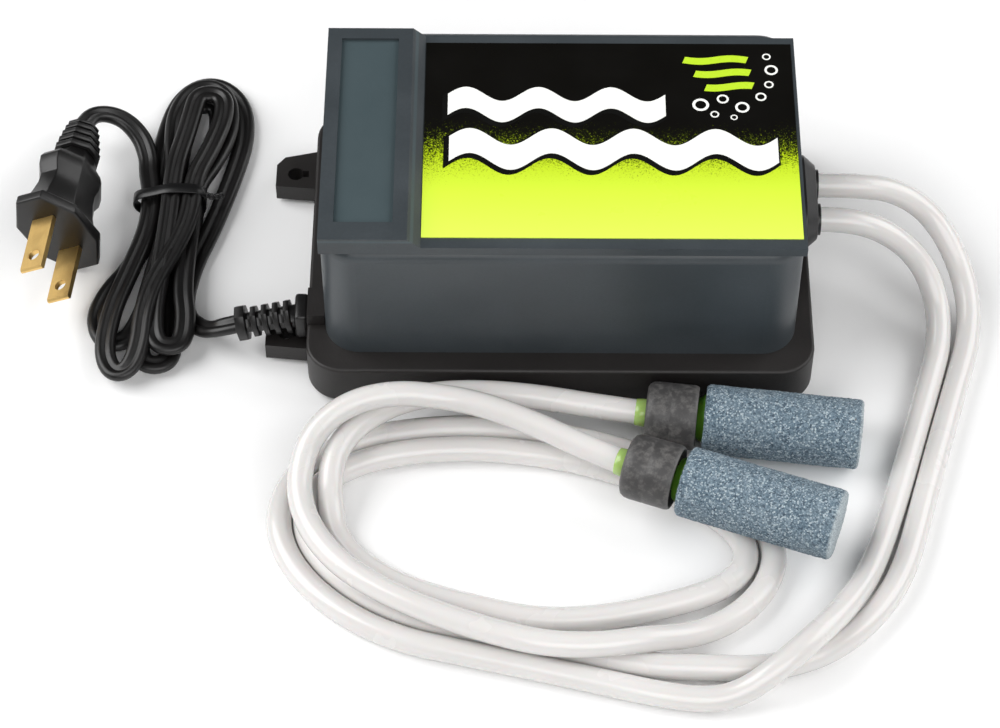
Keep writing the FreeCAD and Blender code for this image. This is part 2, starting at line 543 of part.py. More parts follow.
def pivot_bridge():
    low = bridge_low()
    bar = slab(2 * PIVOT_X + 10.0, 7.6, 3.0, low, low + 3, (MID_X, PIVOT_Y))
    holes = []
    for side in (-1, 1):
        pin_x, post_x = mech_x(side, PIVOT_X), mech_x(side, 12.0)
        holes.append(rod(PIN_R, (pin_x, PIVOT_Y, low - 1), (pin_x, PIVOT_Y, low + 5)))
        holes.append(rod(1.1, (post_x, PIVOT_Y, low - 1), (post_x, PIVOT_Y, low + 5)))
    return bar.cut(fuse(holes))


def bridge_screws():
    seats = [(mech_x(side, 12.0), PIVOT_Y, bridge_low() + 3) for side in (-1, 1)]
    return [small_screw(seat, 10) for seat in seats]


# ---------------------------------------------------------------- pump heads
def head_block(side, x0, x1):
    return box(mech_x(side, x0), mech_x(side, x1), HEAD_Y - HEAD_D / 2, HEAD_Y + HEAD_D / 2,
               MID_Z - HEAD_H / 2, MID_Z + HEAD_H / 2)


def head_bolt_places():
    return [(HEAD_Y + sy * (HEAD_D / 2 - 2.4), MID_Z + sz * (HEAD_H / 2 - 2.4))
            for sy in (-1, 1) for sz in (-1, 1)]


def bolt_holes(side, radius):
    return [rod(radius, (mech_x(side, SEAT_X - 9), y, z), (mech_x(side, HEAD_OUT + 9), y, z))
            for y, z in head_bolt_places()]


def retainer(side):
    plate = head_block(side, SEAT_X - 1.6, SEAT_X)
    bore = rod(CONE_R + 1.0, (mech_x(side, SEAT_X - 5), HEAD_Y, MID_Z), (mech_x(side, SEAT_X + 5), HEAD_Y, MID_Z))
    return plate.cut(Part.makeCompound([bore] + bolt_holes(side, 1.0)))


def head_body(side):
    block = head_block(side, SEAT_X, BODY_OUT)
    feet = []
    for step in (-1, 1):
        y0 = HEAD_Y + step * (HEAD_D / 2 - 1)
        y1 = HEAD_Y + step * (HEAD_D / 2 + 5.0)
        feet.append(box(mech_x(side, SEAT_X), mech_x(side, BODY_OUT), y0, y1, head_foot_z(),
                        head_foot_z() + 2.4))
    cuts = [rod(FLANGE_R + CLEAR, (mech_x(side, SEAT_X - 1), HEAD_Y, MID_Z),
                (mech_x(side, SEAT_X + RUBBER_T), HEAD_Y, MID_Z)),
            rod(CAVITY_R, (mech_x(side, SEAT_X - 1), HEAD_Y, MID_Z), (mech_x(side, VALVE_IN), HEAD_Y, MID_Z))]
    for z in (MID_Z - INTAKE_DROP, MID_Z + EXHAUST_RISE):
        cuts.append(rod(PORT_R, (mech_x(side, SEAT_X), HEAD_Y, z), (mech_x(side, BODY_OUT + 1), HEAD_Y, z)))
    foot_x = mech_x(side, SEAT_X + BODY_T / 2)
    for step in (-1, 1):
        y = HEAD_Y + step * (HEAD_D / 2 + 2.5)
        cuts.append(rod(1.1, (foot_x, y, head_foot_z() - 1), (foot_x, y, head_foot_z() + 5)))
    return fuse([block] + feet).cut(fuse(cuts)).cut(Part.makeCompound(bolt_holes(side, 1.0)))


def head_cover(side):
    block = head_block(side, BODY_OUT, HEAD_OUT)
    half_y, wall = HEAD_D / 2 - 5.0, 1.6
    cuts = []
    for z0, z1 in ((MID_Z + 0.6, MID_Z + HEAD_H / 2 - wall), (MID_Z - HEAD_H / 2 + wall, MID_Z - 0.6)):
        cuts.append(box(mech_x(side, BODY_OUT - 1), mech_x(side, HEAD_OUT - wall), HEAD_Y - half_y,
                        HEAD_Y + half_y, z0, z1))
    inlet_z = MID_Z - HEAD_H / 4
    cuts.append(rod(1.8, (mech_x(side, BODY_OUT + 2), HEAD_Y, inlet_z),
                    (mech_x(side, HEAD_OUT + 1), HEAD_Y, inlet_z)))
    root, tip = head_nozzle(side)
    stem = rod(NOZZLE_R, root, tip)
    bore = rod(NOZZLE_BORE_R, root, (V(*tip) + (V(*tip) - V(*root))))
    return fuse([block.cut(fuse(cuts)), stem]).cut(bore).cut(Part.makeCompound(bolt_holes(side, 1.1)))


def head_nozzle(side):
    """Root and tip of a head's outlet barb: up on the left, to the front on the right."""
    x = mech_x(side, BODY_OUT + CHAMBER_T / 2 - 0.4)
    if side < 0:
        return (x, HEAD_Y, MID_Z + HEAD_H / 2 - 1.8), (x, HEAD_Y, MID_Z + HEAD_H / 2 + 7)
    z = MID_Z + HEAD_H / 4
    return (x, HEAD_Y - HEAD_D / 2 + 4.8, z), (x, HEAD_Y - HEAD_D / 2 - 7, z)


def flap(side, inside):
    """A rubber valve flap that hangs from its top edge in front of its port."""
    if inside:
        x0, port_z, top = VALVE_IN - CLEAR - FLAP_T, MID_Z - INTAKE_DROP, MID_Z + 0.6
    else:
        x0, port_z, top = BODY_OUT + CLEAR, MID_Z + EXHAUST_RISE, MID_Z + HEAD_H / 2 - 2.2
    low = top - FLAP_L
    tongue = box(mech_x(side, x0), mech_x(side, x0 + FLAP_T), HEAD_Y - FLAP_W / 2, HEAD_Y + FLAP_W / 2, low, top)
    foot = [e for e in tongue.Edges if abs(e.tangentAt(0).x) > 0.9 and e.BoundBox.ZMax < port_z]
    return tongue.makeFillet(2.0, foot)


def head_bolts():
    bolts = [screw(1.8, 1.2, 1.0, HEAD_OUT - SEAT_X + 1.4, (mech_x(side, HEAD_OUT), y, z), (-side, 0, 0))
             for side in (-1, 1) for y, z in head_bolt_places()]
    return Part.makeCompound(bolts)


def head_foot_screws():
    screws = []
    for side in (-1, 1):
        for step in (-1, 1):
            seat = (mech_x(side, SEAT_X + BODY_T / 2), HEAD_Y + step * (HEAD_D / 2 + 2.5), head_foot_z() + 2.4)
            screws.append(small_screw(seat, 5.4))
    return screws


# ---------------------------------------------------------------- hoses and wires inside
def left_hose():
    root, tip = head_nozzle(-1)
    x, y, start = root[0], root[1], MID_Z + HEAD_H / 2 + 2 * CLEAR
    end, rise = COVER_IN_X - 1.6, ROOF_Z - HOSE_R - 2.4
    return hose([(x, y, start), (x, y, rise - 6), (x + 15, y + 1, rise), (MID_X - 6, y + 3, rise - 2),
                 (MID_X + 22, y, rise - 10), (end - 17, OUTLET_YS[0] + 0.6, OUTLET_Z + 0.9),
                 (end - 9, OUTLET_YS[0], OUTLET_Z), (end, OUTLET_YS[0], OUTLET_Z)])


def right_hose():
    root, tip = head_nozzle(1)
    x, z = root[0], root[2]
    front = HEAD_Y - HEAD_D / 2
    end = COVER_IN_X - 1.6
    return hose([(x, front - 0.2, z), (x, front - 12, z), (x - 9, front - 21, z + 1.5), (x - 20, front - 17, z + 6.5),
                 (x - 20, front - 6, OUTLET_Z + 0.6), (x - 7, OUTLET_YS[1] + 0.4, OUTLET_Z + 0.6),
                 (end - 9, OUTLET_YS[1], OUTLET_Z), (end, OUTLET_YS[1], OUTLET_Z)])


SPLICE_X0, SPLICE_X1, SPLICE_Z = -40.0, -31.0, 8.0
SPLICE_YS = (-21.5, -27.5)


def supply_wires():
    wires = []
    for y, lean in zip(SPLICE_YS, (0.9, -0.9)):
        solid, _, _ = swept([(-COVER_IN_X + 3.0, CORD_Y + lean, CORD_Z), (-50, CORD_Y + 1.6 + lean, CORD_Z - 1),
                             (-45, y + 0.4, SPLICE_Z + 1), (SPLICE_X0, y, SPLICE_Z)], 0.8)
        wires.append(solid)
    return Part.makeCompound(wires)


def splices():
    return Part.makeCompound([rod(1.9, (SPLICE_X0, y, SPLICE_Z), (SPLICE_X1, y, SPLICE_Z)) for y in SPLICE_YS])


def coil_leads():
    leads = []
    front = CORE_Y - (FLANGE_D - 2.4) / 2
    for y, x in zip(SPLICE_YS, (MID_X - 11.0, MID_X - 6.0)):
        solid, _, _ = swept([(SPLICE_X1, y, SPLICE_Z), (SPLICE_X1 + 6, y - 0.4, SPLICE_Z + 1),
                             (x, y + 0.5, MID_Z - 2), (x + 0.4, front, MID_Z + 1)], 0.5)
        leads.append(solid)
    return Part.makeCompound(leads)


# ---------------------------------------------------------------- power cord, hank and plug
RELIEF_ROOT_X = -TRAY_W / 2 - RELIEF_ROOT_T
RELIEF_AIM = V(-14.7, -0.6, -2.7).normalize()      # way the strain relief points
RELIEF_TIP = V(RELIEF_ROOT_X, CORD_Y, CORD_Z) + RELIEF_AIM * RELIEF_LEN


def strain_relief():
    root = box(RELIEF_ROOT_X, -TRAY_W / 2, CORD_Y - RELIEF_ROOT / 2, CORD_Y + RELIEF_ROOT / 2,
               CORD_Z - RELIEF_ROOT / 2, CORD_Z + RELIEF_ROOT / 2)
    root = root.makeFillet(1.2, [e for e in root.Edges if abs(e.tangentAt(0).x) > 0.9])
    inner = -COVER_IN_X + LIP_T + 2 * CLEAR
    stem = rod(RELIEF_STEM_R, (-TRAY_W / 2 - 1, CORD_Y, CORD_Z), (inner + 1, CORD_Y, CORD_Z))
    catch = rod(RELIEF_STEM_R + 0.8, (inner, CORD_Y, CORD_Z), (inner + 1, CORD_Y, CORD_Z))
    start = V(RELIEF_ROOT_X, CORD_Y, CORD_Z)
    pieces = [root, stem, catch]
    pieces.append(Part.makeCone(2.7, 2.3, RELIEF_LEN + 1.5, start - RELIEF_AIM * 1.5, RELIEF_AIM))
    for i in range(5):
        at = 0.8 + RIB_PITCH * i
        thick = RIB_T if i < 4 else RELIEF_LEN - at
        pieces.append(Part.makeCylinder(3.8 - 0.14 * i, thick, start + RELIEF_AIM * at, RELIEF_AIM))
    for lean in (-1, 1):                    # two bars join the ribs along the sides
        across = RELIEF_AIM.cross(Z_AXIS).normalize() * 2.9 * lean
        pieces.append(Part.makeCylinder(0.7, RELIEF_LEN - 1, start + across * 1.0, RELIEF_AIM))
    return fuse(pieces)


TIP = tuple(RELIEF_TIP)
POWER_CORD_POINTS = [TIP, (-86.6, -25.7, 8.6), (-90.4, -23.6, 5.0), (-93.5, -20.5, 2.9), (-96.2, -17.8, 2.9)]

PLUG_LEAD_POINTS = [(-109.6, 31.0, 3.6), (-109.9, 36.2, 3.8), (-112.2, 42.6, 5.4), (-117.0, 46.8, 8.0),
                    (-122.6, 46.4, 10.8), (-126.2, 42.2, 13.0)]

HANK_LOW, HANK_HIGH = 0.7, 9.6
TIE_Y0, TIE_Y1, TIE_T = 18.8, 22.2, 0.6
TIE_X0, TIE_X1 = -111.0, -93.6


def hank_outline():
    """Outer line of the tied hank, open where the two free ends of the cord come out of it."""
    half = CORD / 2 + 0.3
    end, before = V(*POWER_CORD_POINTS[-1]), V(*POWER_CORD_POINTS[-2])
    along = (end - before).normalize()
    across = V(along.y, -along.x, 0) * half
    lower, upper = end - across, end + across
    if lower.y > upper.y:
        lower, upper = upper, lower
    lead_x, lead_y = PLUG_LEAD_POINTS[0][0], PLUG_LEAD_POINTS[0][1]
    lows = [(lower.x, lower.y), (-95.9, -26.0), (-99.0, -29.5), (-104.5, -33.8), (-111.8, -37.4), (-117.3, -31.0),
            (-119.8, -19.0), (-116.2, 0.5), (TIE_X0, TIE_Y0 - 2)]
    tops = [(lead_x + half, lead_y), (-106.5, 44.0), (-103.6, 57.0), (-97.0, 64.9), (-88.0, 59.6), (-83.6, 44.0),
            (-88.6, 29.0), (TIE_X1, TIE_Y1 + 2)]
    sets = (lows, [(TIE_X0, TIE_Y0 - 2), (TIE_X0, TIE_Y1 + 2)],
            [(TIE_X0, TIE_Y1 + 2), (lead_x - half, lead_y)], [(lead_x - half, lead_y), (lead_x + half, lead_y)],
            tops, [(TIE_X1, TIE_Y1 + 2), (TIE_X1, TIE_Y0 - 2)],
            [(TIE_X1, TIE_Y0 - 2), (-95.2, 2.0), (upper.x, upper.y + 4), (upper.x, upper.y)],
            [(upper.x, upper.y), (lower.x, lower.y)])
    edges = []
    for points in sets:
        flat = [V(x, y, HANK_LOW) for x, y in points]
        if len(flat) == 2:
            edges.append(Part.makeLine(*flat))
        else:
            curve = Part.BSplineCurve()
            curve.interpolate(flat)
            edges.append(curve.toShape())
    return Part.Wire(edges)


def cord_hank():
    return Part.Face(hank_outline()).extrude(V(0, 0, HANK_HIGH - HANK_LOW))


def twist_tie():
    gap = 0.05
    outer = box(TIE_X0 - gap - TIE_T, TIE_X1 + gap + TIE_T, TIE_Y0, TIE_Y1, HANK_LOW - gap - TIE_T,
                HANK_HIGH + gap + TIE_T)
    inner = box(TIE_X0 - gap, TIE_X1 + gap, TIE_Y0 - 1, TIE_Y1 + 1, HANK_LOW - gap, HANK_HIGH + gap)
    tail = box(TIE_X1 + gap + TIE_T - 0.2, TIE_X1 + 5, TIE_Y0 + 1, TIE_Y0 + 2.2, 6.0, 7.2)
    return fuse([outer.cut(inner), tail])


# The plug lies on one edge: its blades point forwards and its wide side leans.
PLUG_FACE = V(-129.8, -0.5, 15.2)
PLUG_AIM = V(-0.09, -0.995, 0).normalize()
PLUG_ROLL = 26.0
PLUG_W, PLUG_L, PLUG_BODY = 18.0, 28.5, 26.5
PLUG_RELIEF = 10.5
BLADE_W, BLADE_T, BLADE_L, BLADE_PITCH, BLADE_HOLE_R = 6.35, 1.5, 17.0, 12.7, 1.6


def plug_frame():
    """Local +Z is the way of the blades, local X their width and local Y from blade to blade."""
    level = V(-PLUG_AIM.y, PLUG_AIM.x, 0)
    roll = math.radians(PLUG_ROLL)
    wide = level * math.cos(roll) + Z_AXIS * math.sin(roll)
    across = PLUG_AIM.cross(wide)
    matrix = FreeCAD.Matrix(wide.x, across.x, PLUG_AIM.x, PLUG_FACE.x, wide.y, across.y, PLUG_AIM.y, PLUG_FACE.y,
                            wide.z, across.z, PLUG_AIM.z, PLUG_FACE.z, 0, 0, 0, 1)
    return FreeCAD.Placement(matrix)


def place_plug_piece(solid):
    solid.Placement = plug_frame().multiply(solid.Placement)
    return solid


def plug_section(width, length, chamfer, z):
    hx, hy, c = width / 2, length / 2, chamfer
    corners = [(hx - c, -hy), (hx, -hy + c), (hx, hy - c), (hx - c, hy), (-hx + c, hy), (-hx, hy - c),
               (-hx, -hy + c), (-hx + c, -hy)]
    points = [V(x, y, z) for x, y in corners]
    return Part.makePolygon(points + points[:1])


def plug_body():
    sections = [(PLUG_W, PLUG_L, 4.0, 0.0), (PLUG_W, PLUG_L, 4.0, -3.0), (13.0, 21.5, 2.8, -8.5),
                (12.0, 17.5, 2.4, -14.0), (13.5, 21.0, 2.6, -19.5), (11.5, 17.0, 2.4, -23.5), (9.0, 10.0, 2.0, -PLUG_BODY)]
    body = Part.makeLoft([plug_section(*s) for s in sections], True, True)
    slots = [Part.makeBox(BLADE_W, BLADE_T, 9, V(-BLADE_W / 2, s * BLADE_PITCH / 2 - BLADE_T / 2, -8))
             for s in (-1, 1)]
    return place_plug_piece(body.cut(Part.makeCompound(slots)))


def plug_blades():
    blades = []
    for s in (-1, 1):
        y = s * BLADE_PITCH / 2
        blade = Part.makeBox(BLADE_W, BLADE_T, BLADE_L + 8, V(-BLADE_W / 2, y - BLADE_T / 2, -8))
        tip = [e for e in blade.Edges if e.BoundBox.ZMin > BLADE_L - 0.01 and abs(e.tangentAt(0).x) > 0.9]
        blade = blade.makeChamfer(0.45, tip)
        hole = Part.makeCylinder(BLADE_HOLE_R, 4, V(0, y - 2, BLADE_L - 4.6), Y_AXIS)
        blades.append(blade.cut(hole))
    return place_plug_piece(Part.makeCompound(blades))


def plug_relief():
    core_piece = Part.makeCone(3.3, 2.7, PLUG_RELIEF, V(0, 0, -PLUG_BODY), V(0, 0, -1))
    ribs = [Part.makeCylinder(4.3 - 0.25 * i, 1.3, V(0, 0, -PLUG_BODY - 0.9 - 2.3 * i), V(0, 0, -1))
            for i in range(4)]
    return place_plug_piece(fuse([core_piece] + ribs))


PLUG_TIP = plug_frame().multVec(V(0, 0, -PLUG_BODY - PLUG_RELIEF))
PLUG_LEAD_POINTS = PLUG_LEAD_POINTS + [tuple(PLUG_TIP)]

# ---------------------------------------------------------------- air tubes, coil and stones
# A line's points: out of the nozzle, over to the floor, beside each other to the loose coil.
REAR_TUBE_POINTS = [(NOZZLE_FACE, OUTLET_YS[0], OUTLET_Z), (75.4, OUTLET_YS[0], OUTLET_Z),
                    (86.6, 6.3, 26.4), (96.4, 4.6, 18.8), (103.2, -3.6, 10.8), (105.9, -14.6, 5.2),
                    (104.4, -26.5, 3.4), (100.8, -38.0, 3.3), (96.6, -51.5, 3.3), (90.0, -73.5, 3.3),
                    (83.6, -95.5, 3.3), (76.2, -107.8, 3.3), (66.8, -117.2, 3.3), (56.2, -122.4, 3.3),
                    (45.2, -124.3, 3.3), (34.0, -123.8, 3.3)]
FRONT_TUBE_POINTS = [(NOZZLE_FACE, OUTLET_YS[1], OUTLET_Z), (74.0, OUTLET_YS[1], OUTLET_Z),
                     (84.0, -6.9, 25.0), (92.4, -9.0, 17.0), (97.0, -15.4, 9.2), (97.2, -26.4, 4.4),
                     (93.6, -39.0, 3.3), (89.2, -53.4, 3.3), (82.6, -75.4, 3.3), (75.4, -96.0, 3.7),
                     (68.4, -108.6, 7.2), (59.8, -119.6, 10.6), (50.4, -128.0, 9.2), (42.2, -132.0, 4.8),
                     (34.0, -133.0, 3.3)]
COIL_IN_X = 34.0            # face where both tails enter the coil
COIL_OUT_X = -30.0          # face where both ends leave the coil for the stones
COIL_LAYER = 6.1

STONES = {"rear": {"ring": V(21.4, -52.5, 8.85), "turn": -6.9},
          "front": {"ring": V(16.2, -73.0, 15.3), "turn": -19.8}}


def stone_axis(name):
    a = math.radians(STONES[name]["turn"])
    return V(math.cos(a), math.sin(a), 0)


def along_stone(name, distance):
    return STONES[name]["ring"] + stone_axis(name) * distance


END_REAR_POINTS = [(COIL_OUT_X, -48.6, 11.6), (-18.0, -48.2, 11.4), (-5.0, -49.0, 10.6), (9.5, -51.0, 9.4),
                   tuple(STONES["rear"]["ring"])]
END_FRONT_POINTS = [(COIL_OUT_X, -53.6, 16.9), (-18.5, -56.4, 16.9), (-5.5, -62.2, 16.4), (6.5, -68.6, 15.6),
                    tuple(STONES["front"]["ring"])]


def spline(points, z):
    curve = Part.BSplineCurve()
    curve.interpolate([V(x, y, z) for x, y in points])
    return curve.toShape()


def air_tube_coil():
    left = [(COIL_IN_X, -137.0), (23.0, -136.0), (-10.0, -128.0), (-44.0, -118.6), (-60.0, -107.0), (-70.4, -96.0),
            (-73.0, -84.0), (-69.8, -69.6), (-60.5, -56.6), (-46.0, -48.0), (COIL_OUT_X, -45.2)]
    right = [(COIL_OUT_X, -49.4), (-8.0, -51.4), (8.0, -55.4), (22.0, -62.0), (42.0, -72.5), (53.0, -82.5),
             (55.4, -90.0), (52.0, -102.0), (42.5, -112.8), (COIL_IN_X, -118.2)]
    inner = [(-51.2, -76.0), (-45.8, -65.4), (-21.3, -60.3), (4.0, -63.6), (30.0, -74.0), (43.4, -84.6),
             (38.6, -93.8), (21.4, -103.0), (-11.8, -108.6), (-39.0, -98.6), (-50.0, -86.0)]
    edges = [spline(left, 0), Part.makeLine(V(COIL_OUT_X, -45.2, 0), V(COIL_OUT_X, -49.4, 0)),
             spline(right, 0), Part.makeLine(V(COIL_IN_X, -118.2, 0), V(COIL_IN_X, -137.0, 0))]
    ring = Part.BSplineCurve()
    ring.interpolate([V(x, y, 0) for x, y in inner], PeriodicFlag=True)
    face = Part.Face(Part.Wire(edges)).cut(Part.Face(Part.Wire(ring.toShape())))
    floor_layer = face.extrude(V(0, 0, COIL_LAYER))
    upper = face.extrude(V(0, 0, 2 * COIL_LAYER)).common(box(-90, COIL_OUT_X, -140, -40, 1, 30))
    crossing = face.extrude(V(0, 0, 20.4)).common(box(-58, COIL_OUT_X, -62, -40, 1, 30))
    return fuse([floor_layer, upper, crossing])


def air_stone(name):
    axis = stone_axis(name)
    body = Part.makeCylinder(STONE_R, STONE_L, along_stone(name, RING_L + CUP_L), axis)
    return body.makeFillet(STONE_EDGE, [e for e in body.Edges if e.Closed and e.Length > 20])


def weight_ring(name):
    axis = stone_axis(name)
    body = Part.makeCylinder(RING_R, RING_L, STONES[name]["ring"], axis)
    body = body.makeFillet(RING_EDGE, [e for e in body.Edges if e.Closed and e.Length > 20])
    return body.cut(Part.makeCylinder(STEM_R + CLEAR, RING_L + 2, along_stone(name, -1), axis))


def stone_nipple(name):
    axis = stone_axis(name)
    stem = Part.makeCylinder(STEM_R, RING_L + 0.5, STONES[name]["ring"], axis)
    cup = Part.makeCone(CUP_R - 1.2, CUP_R, CUP_L, along_stone(name, RING_L), axis)
    return fuse([stem, cup])


# ---------------------------------------------------------------- all nodes
nodes["base_tray"] = tray()
nodes["rubber_feet"] = rubber_feet()
nodes["housing_cover"] = cover()
nodes["top_label"] = label()
nodes["cover_screws"] = cover_screws()
nodes["filter_felt"] = filter_felt()
nodes["filter_cover"] = filter_cover()
nodes["outlet_block"] = outlet_block()
nodes["outlet_nozzles"] = Part.makeCompound([outlet_nozzle(y) for y in OUTLET_YS])
nodes["coil_core"] = core()
nodes["coil_bobbin"] = bobbin()
nodes["coil_winding"] = winding()
nodes["core_straps"] = core_straps()
nodes["frame_screws"] = Part.makeCompound(core_screws() + bridge_screws() + head_foot_screws())
nodes["pivot_pins"] = pivot_pins()
nodes["pivot_bridge"] = pivot_bridge()
for label_name, build in (("swing_arm", swing_arm), ("magnet", magnet), ("magnet_yoke", magnet_yoke),
                          ("diaphragm", diaphragm), ("diaphragm_clamp", diaphragm_clamp),
                          ("diaphragm_retainer", retainer), ("head_body", head_body),
                          ("head_cover", head_cover)):
    for side_name, solid in sides(build).items():
        nodes[label_name + "_" + side_name] = solid
for side_name, side in (("left", -1), ("right", 1)):
    nodes["intake_flap_" + side_name] = flap(side, True)
    nodes["exhaust_flap_" + side_name] = flap(side, False)
nodes["head_bolts"] = head_bolts()
nodes["outlet_hose_left"] = left_hose()
nodes["outlet_hose_right"] = right_hose()
nodes["supply_wires"] = supply_wires()
nodes["wire_splices"] = splices()
nodes["coil_leads"] = coil_leads()
nodes["strain_relief"] = strain_relief()
nodes["power_cord"] = cord("power_cord", POWER_CORD_POINTS, CORD)
nodes["plug_lead"] = cord("plug_lead", PLUG_LEAD_POINTS, CORD)
nodes["cord_hank"] = cord_hank()
nodes["twist_tie"] = twist_tie()
nodes["plug_body"] = plug_body()
nodes["plug_blades"] = plug_blades()
nodes["plug_relief"] = plug_relief()
nodes["air_tube_rear"] = cord("air_tube_rear", REAR_TUBE_POINTS, AIR_TUBE)
nodes["air_tube_front"] = cord("air_tube_front", FRONT_TUBE_POINTS, AIR_TUBE)
nodes["air_tube_coil"] = air_tube_coil()
nodes["tube_end_rear"] = cord("tube_end_rear", END_REAR_POINTS, AIR_TUBE)
nodes["tube_end_front"] = cord("tube_end_front", END_FRONT_POINTS, AIR_TUBE)
nodes["weight_rings"] = Part.makeCompound([weight_ring(name) for name in STONES])
nodes["stone_nipples"] = Part.makeCompound([stone_nipple(name) for name in STONES])
nodes["air_stones"] = Part.makeCompound([air_stone(name) for name in STONES])

os.makedirs("parts", exist_ok=True)
for name, shape in nodes.items():
    if not shape.isValid() or shape.Volume <= 0:
        print("CHECK", name, "valid", shape.isValid(), "volume", shape.Volume)
    shape.exportStep("parts/" + name + ".step")
print(len(nodes), "nodes")
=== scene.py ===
# %% [markdown]
# # A twin-outlet aquarium air pump
# The pump's moulded case, its moving parts and its fittings come ready made, as a frame of CAD nodes.
# This lesson dresses them with procedural finishes. It models again, with more detail, what a plain solid
# can't show: the air tubes, the tied power cord, the gritty air stones, the plug and the printed label.
# %% Load the frame
import json
import math

import bpy
from mathutils import Matrix, Vector


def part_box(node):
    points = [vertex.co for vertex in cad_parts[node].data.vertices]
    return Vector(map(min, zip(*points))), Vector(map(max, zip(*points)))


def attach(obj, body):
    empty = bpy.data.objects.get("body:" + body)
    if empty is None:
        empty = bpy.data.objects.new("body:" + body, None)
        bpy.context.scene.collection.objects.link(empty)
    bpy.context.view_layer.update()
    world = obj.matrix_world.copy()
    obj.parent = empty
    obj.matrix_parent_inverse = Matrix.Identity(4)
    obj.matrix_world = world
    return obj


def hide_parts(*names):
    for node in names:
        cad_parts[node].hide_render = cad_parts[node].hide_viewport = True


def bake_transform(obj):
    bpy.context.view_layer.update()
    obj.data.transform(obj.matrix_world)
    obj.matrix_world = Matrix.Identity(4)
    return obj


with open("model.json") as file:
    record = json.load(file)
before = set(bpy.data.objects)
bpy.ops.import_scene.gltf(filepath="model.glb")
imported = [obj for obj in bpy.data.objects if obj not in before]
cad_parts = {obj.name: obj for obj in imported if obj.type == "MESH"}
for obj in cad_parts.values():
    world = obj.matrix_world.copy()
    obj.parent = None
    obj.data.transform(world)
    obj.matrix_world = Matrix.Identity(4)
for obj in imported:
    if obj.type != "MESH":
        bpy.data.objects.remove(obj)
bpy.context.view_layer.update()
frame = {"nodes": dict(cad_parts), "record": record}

MM = 0.001
nodes_of_cad = frame["nodes"]
print("the frame holds", len(nodes_of_cad), "nodes")


# %% [markdown]
# ## Small tools
# Sizes read best in millimetres, so one function turns them into metres. Another starts each piece from an
# empty selection, and a third hands a finished piece to its body and its finish.
# %% Units, selection and hand-over
def mm(*values):
    """Millimetres to metres, as a vector when there are three of them."""
    scaled = [v * MM for v in values]
    return scaled[0] if len(scaled) == 1 else Vector(scaled)


def start_fresh():
    if bpy.context.mode != "OBJECT":
        bpy.ops.object.mode_set(mode="OBJECT")
    bpy.ops.object.select_all(action="DESELECT")


def only(piece):
    start_fresh()
    piece.select_set(True)
    bpy.context.view_layer.objects.active = piece


def hand_over(piece, name, finish, replaced=()):
    piece.name = name
    piece.data.materials.clear()
    piece.data.materials.append(finish.material)
    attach(piece, "pump_body")
    if replaced:
        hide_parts(*replaced)
    return piece


# %% [markdown]
# ## The camera
# The pump is seen from in front and well above, through a long lens, as in a catalogue picture. A camera
# looks along its own -Z, so a track quaternion turns it from its place towards its target.
# %% Camera
CAMERA_PLACE = mm(-12.2, -522.2, 629.6)
CAMERA_TARGET = mm(-15.2, -30.3, 0.0)
FOCAL_LENGTH, SENSOR_WIDTH = 112.2, 36
NEAREST_SEEN = mm(10)

bpy.ops.object.camera_add(location=CAMERA_PLACE)
camera = bpy.context.object
camera.rotation_euler = (CAMERA_TARGET - CAMERA_PLACE).to_track_quat("-Z", "Y").to_euler()
camera.data.lens = FOCAL_LENGTH
camera.data.sensor_width = SENSOR_WIDTH
camera.data.clip_start = NEAREST_SEEN
bpy.context.scene.camera = camera
print("the camera is", round((CAMERA_TARGET - CAMERA_PLACE).length, 3), "m from its target")


# %% [markdown]
# ## Finishes: the building blocks
# Nearly every finish here is one shader with a few procedural helpers: a soft mottling of the colour, a
# change of roughness, and a fine bump. All patterns read Object coordinates, which are metres here, so a
# noise scale of 1000 gives marks about a millimetre across. Most of a noise lies between 0.3 and 0.7.
# %% Shader helpers
NOISE_LOW, NOISE_HIGH = 0.3, 0.7
SOFT_EDGE = mm(0.1)


def colour(red, green, blue):
    """A display colour from 0 to 255 as the linear colour that shaders use."""
    linear = []
    for value in (red, green, blue):
        c = value / 255
        linear.append(c / 12.92 if c <= 0.04045 else ((c + 0.055) / 1.055) ** 2.4)
    return (*linear, 1.0)


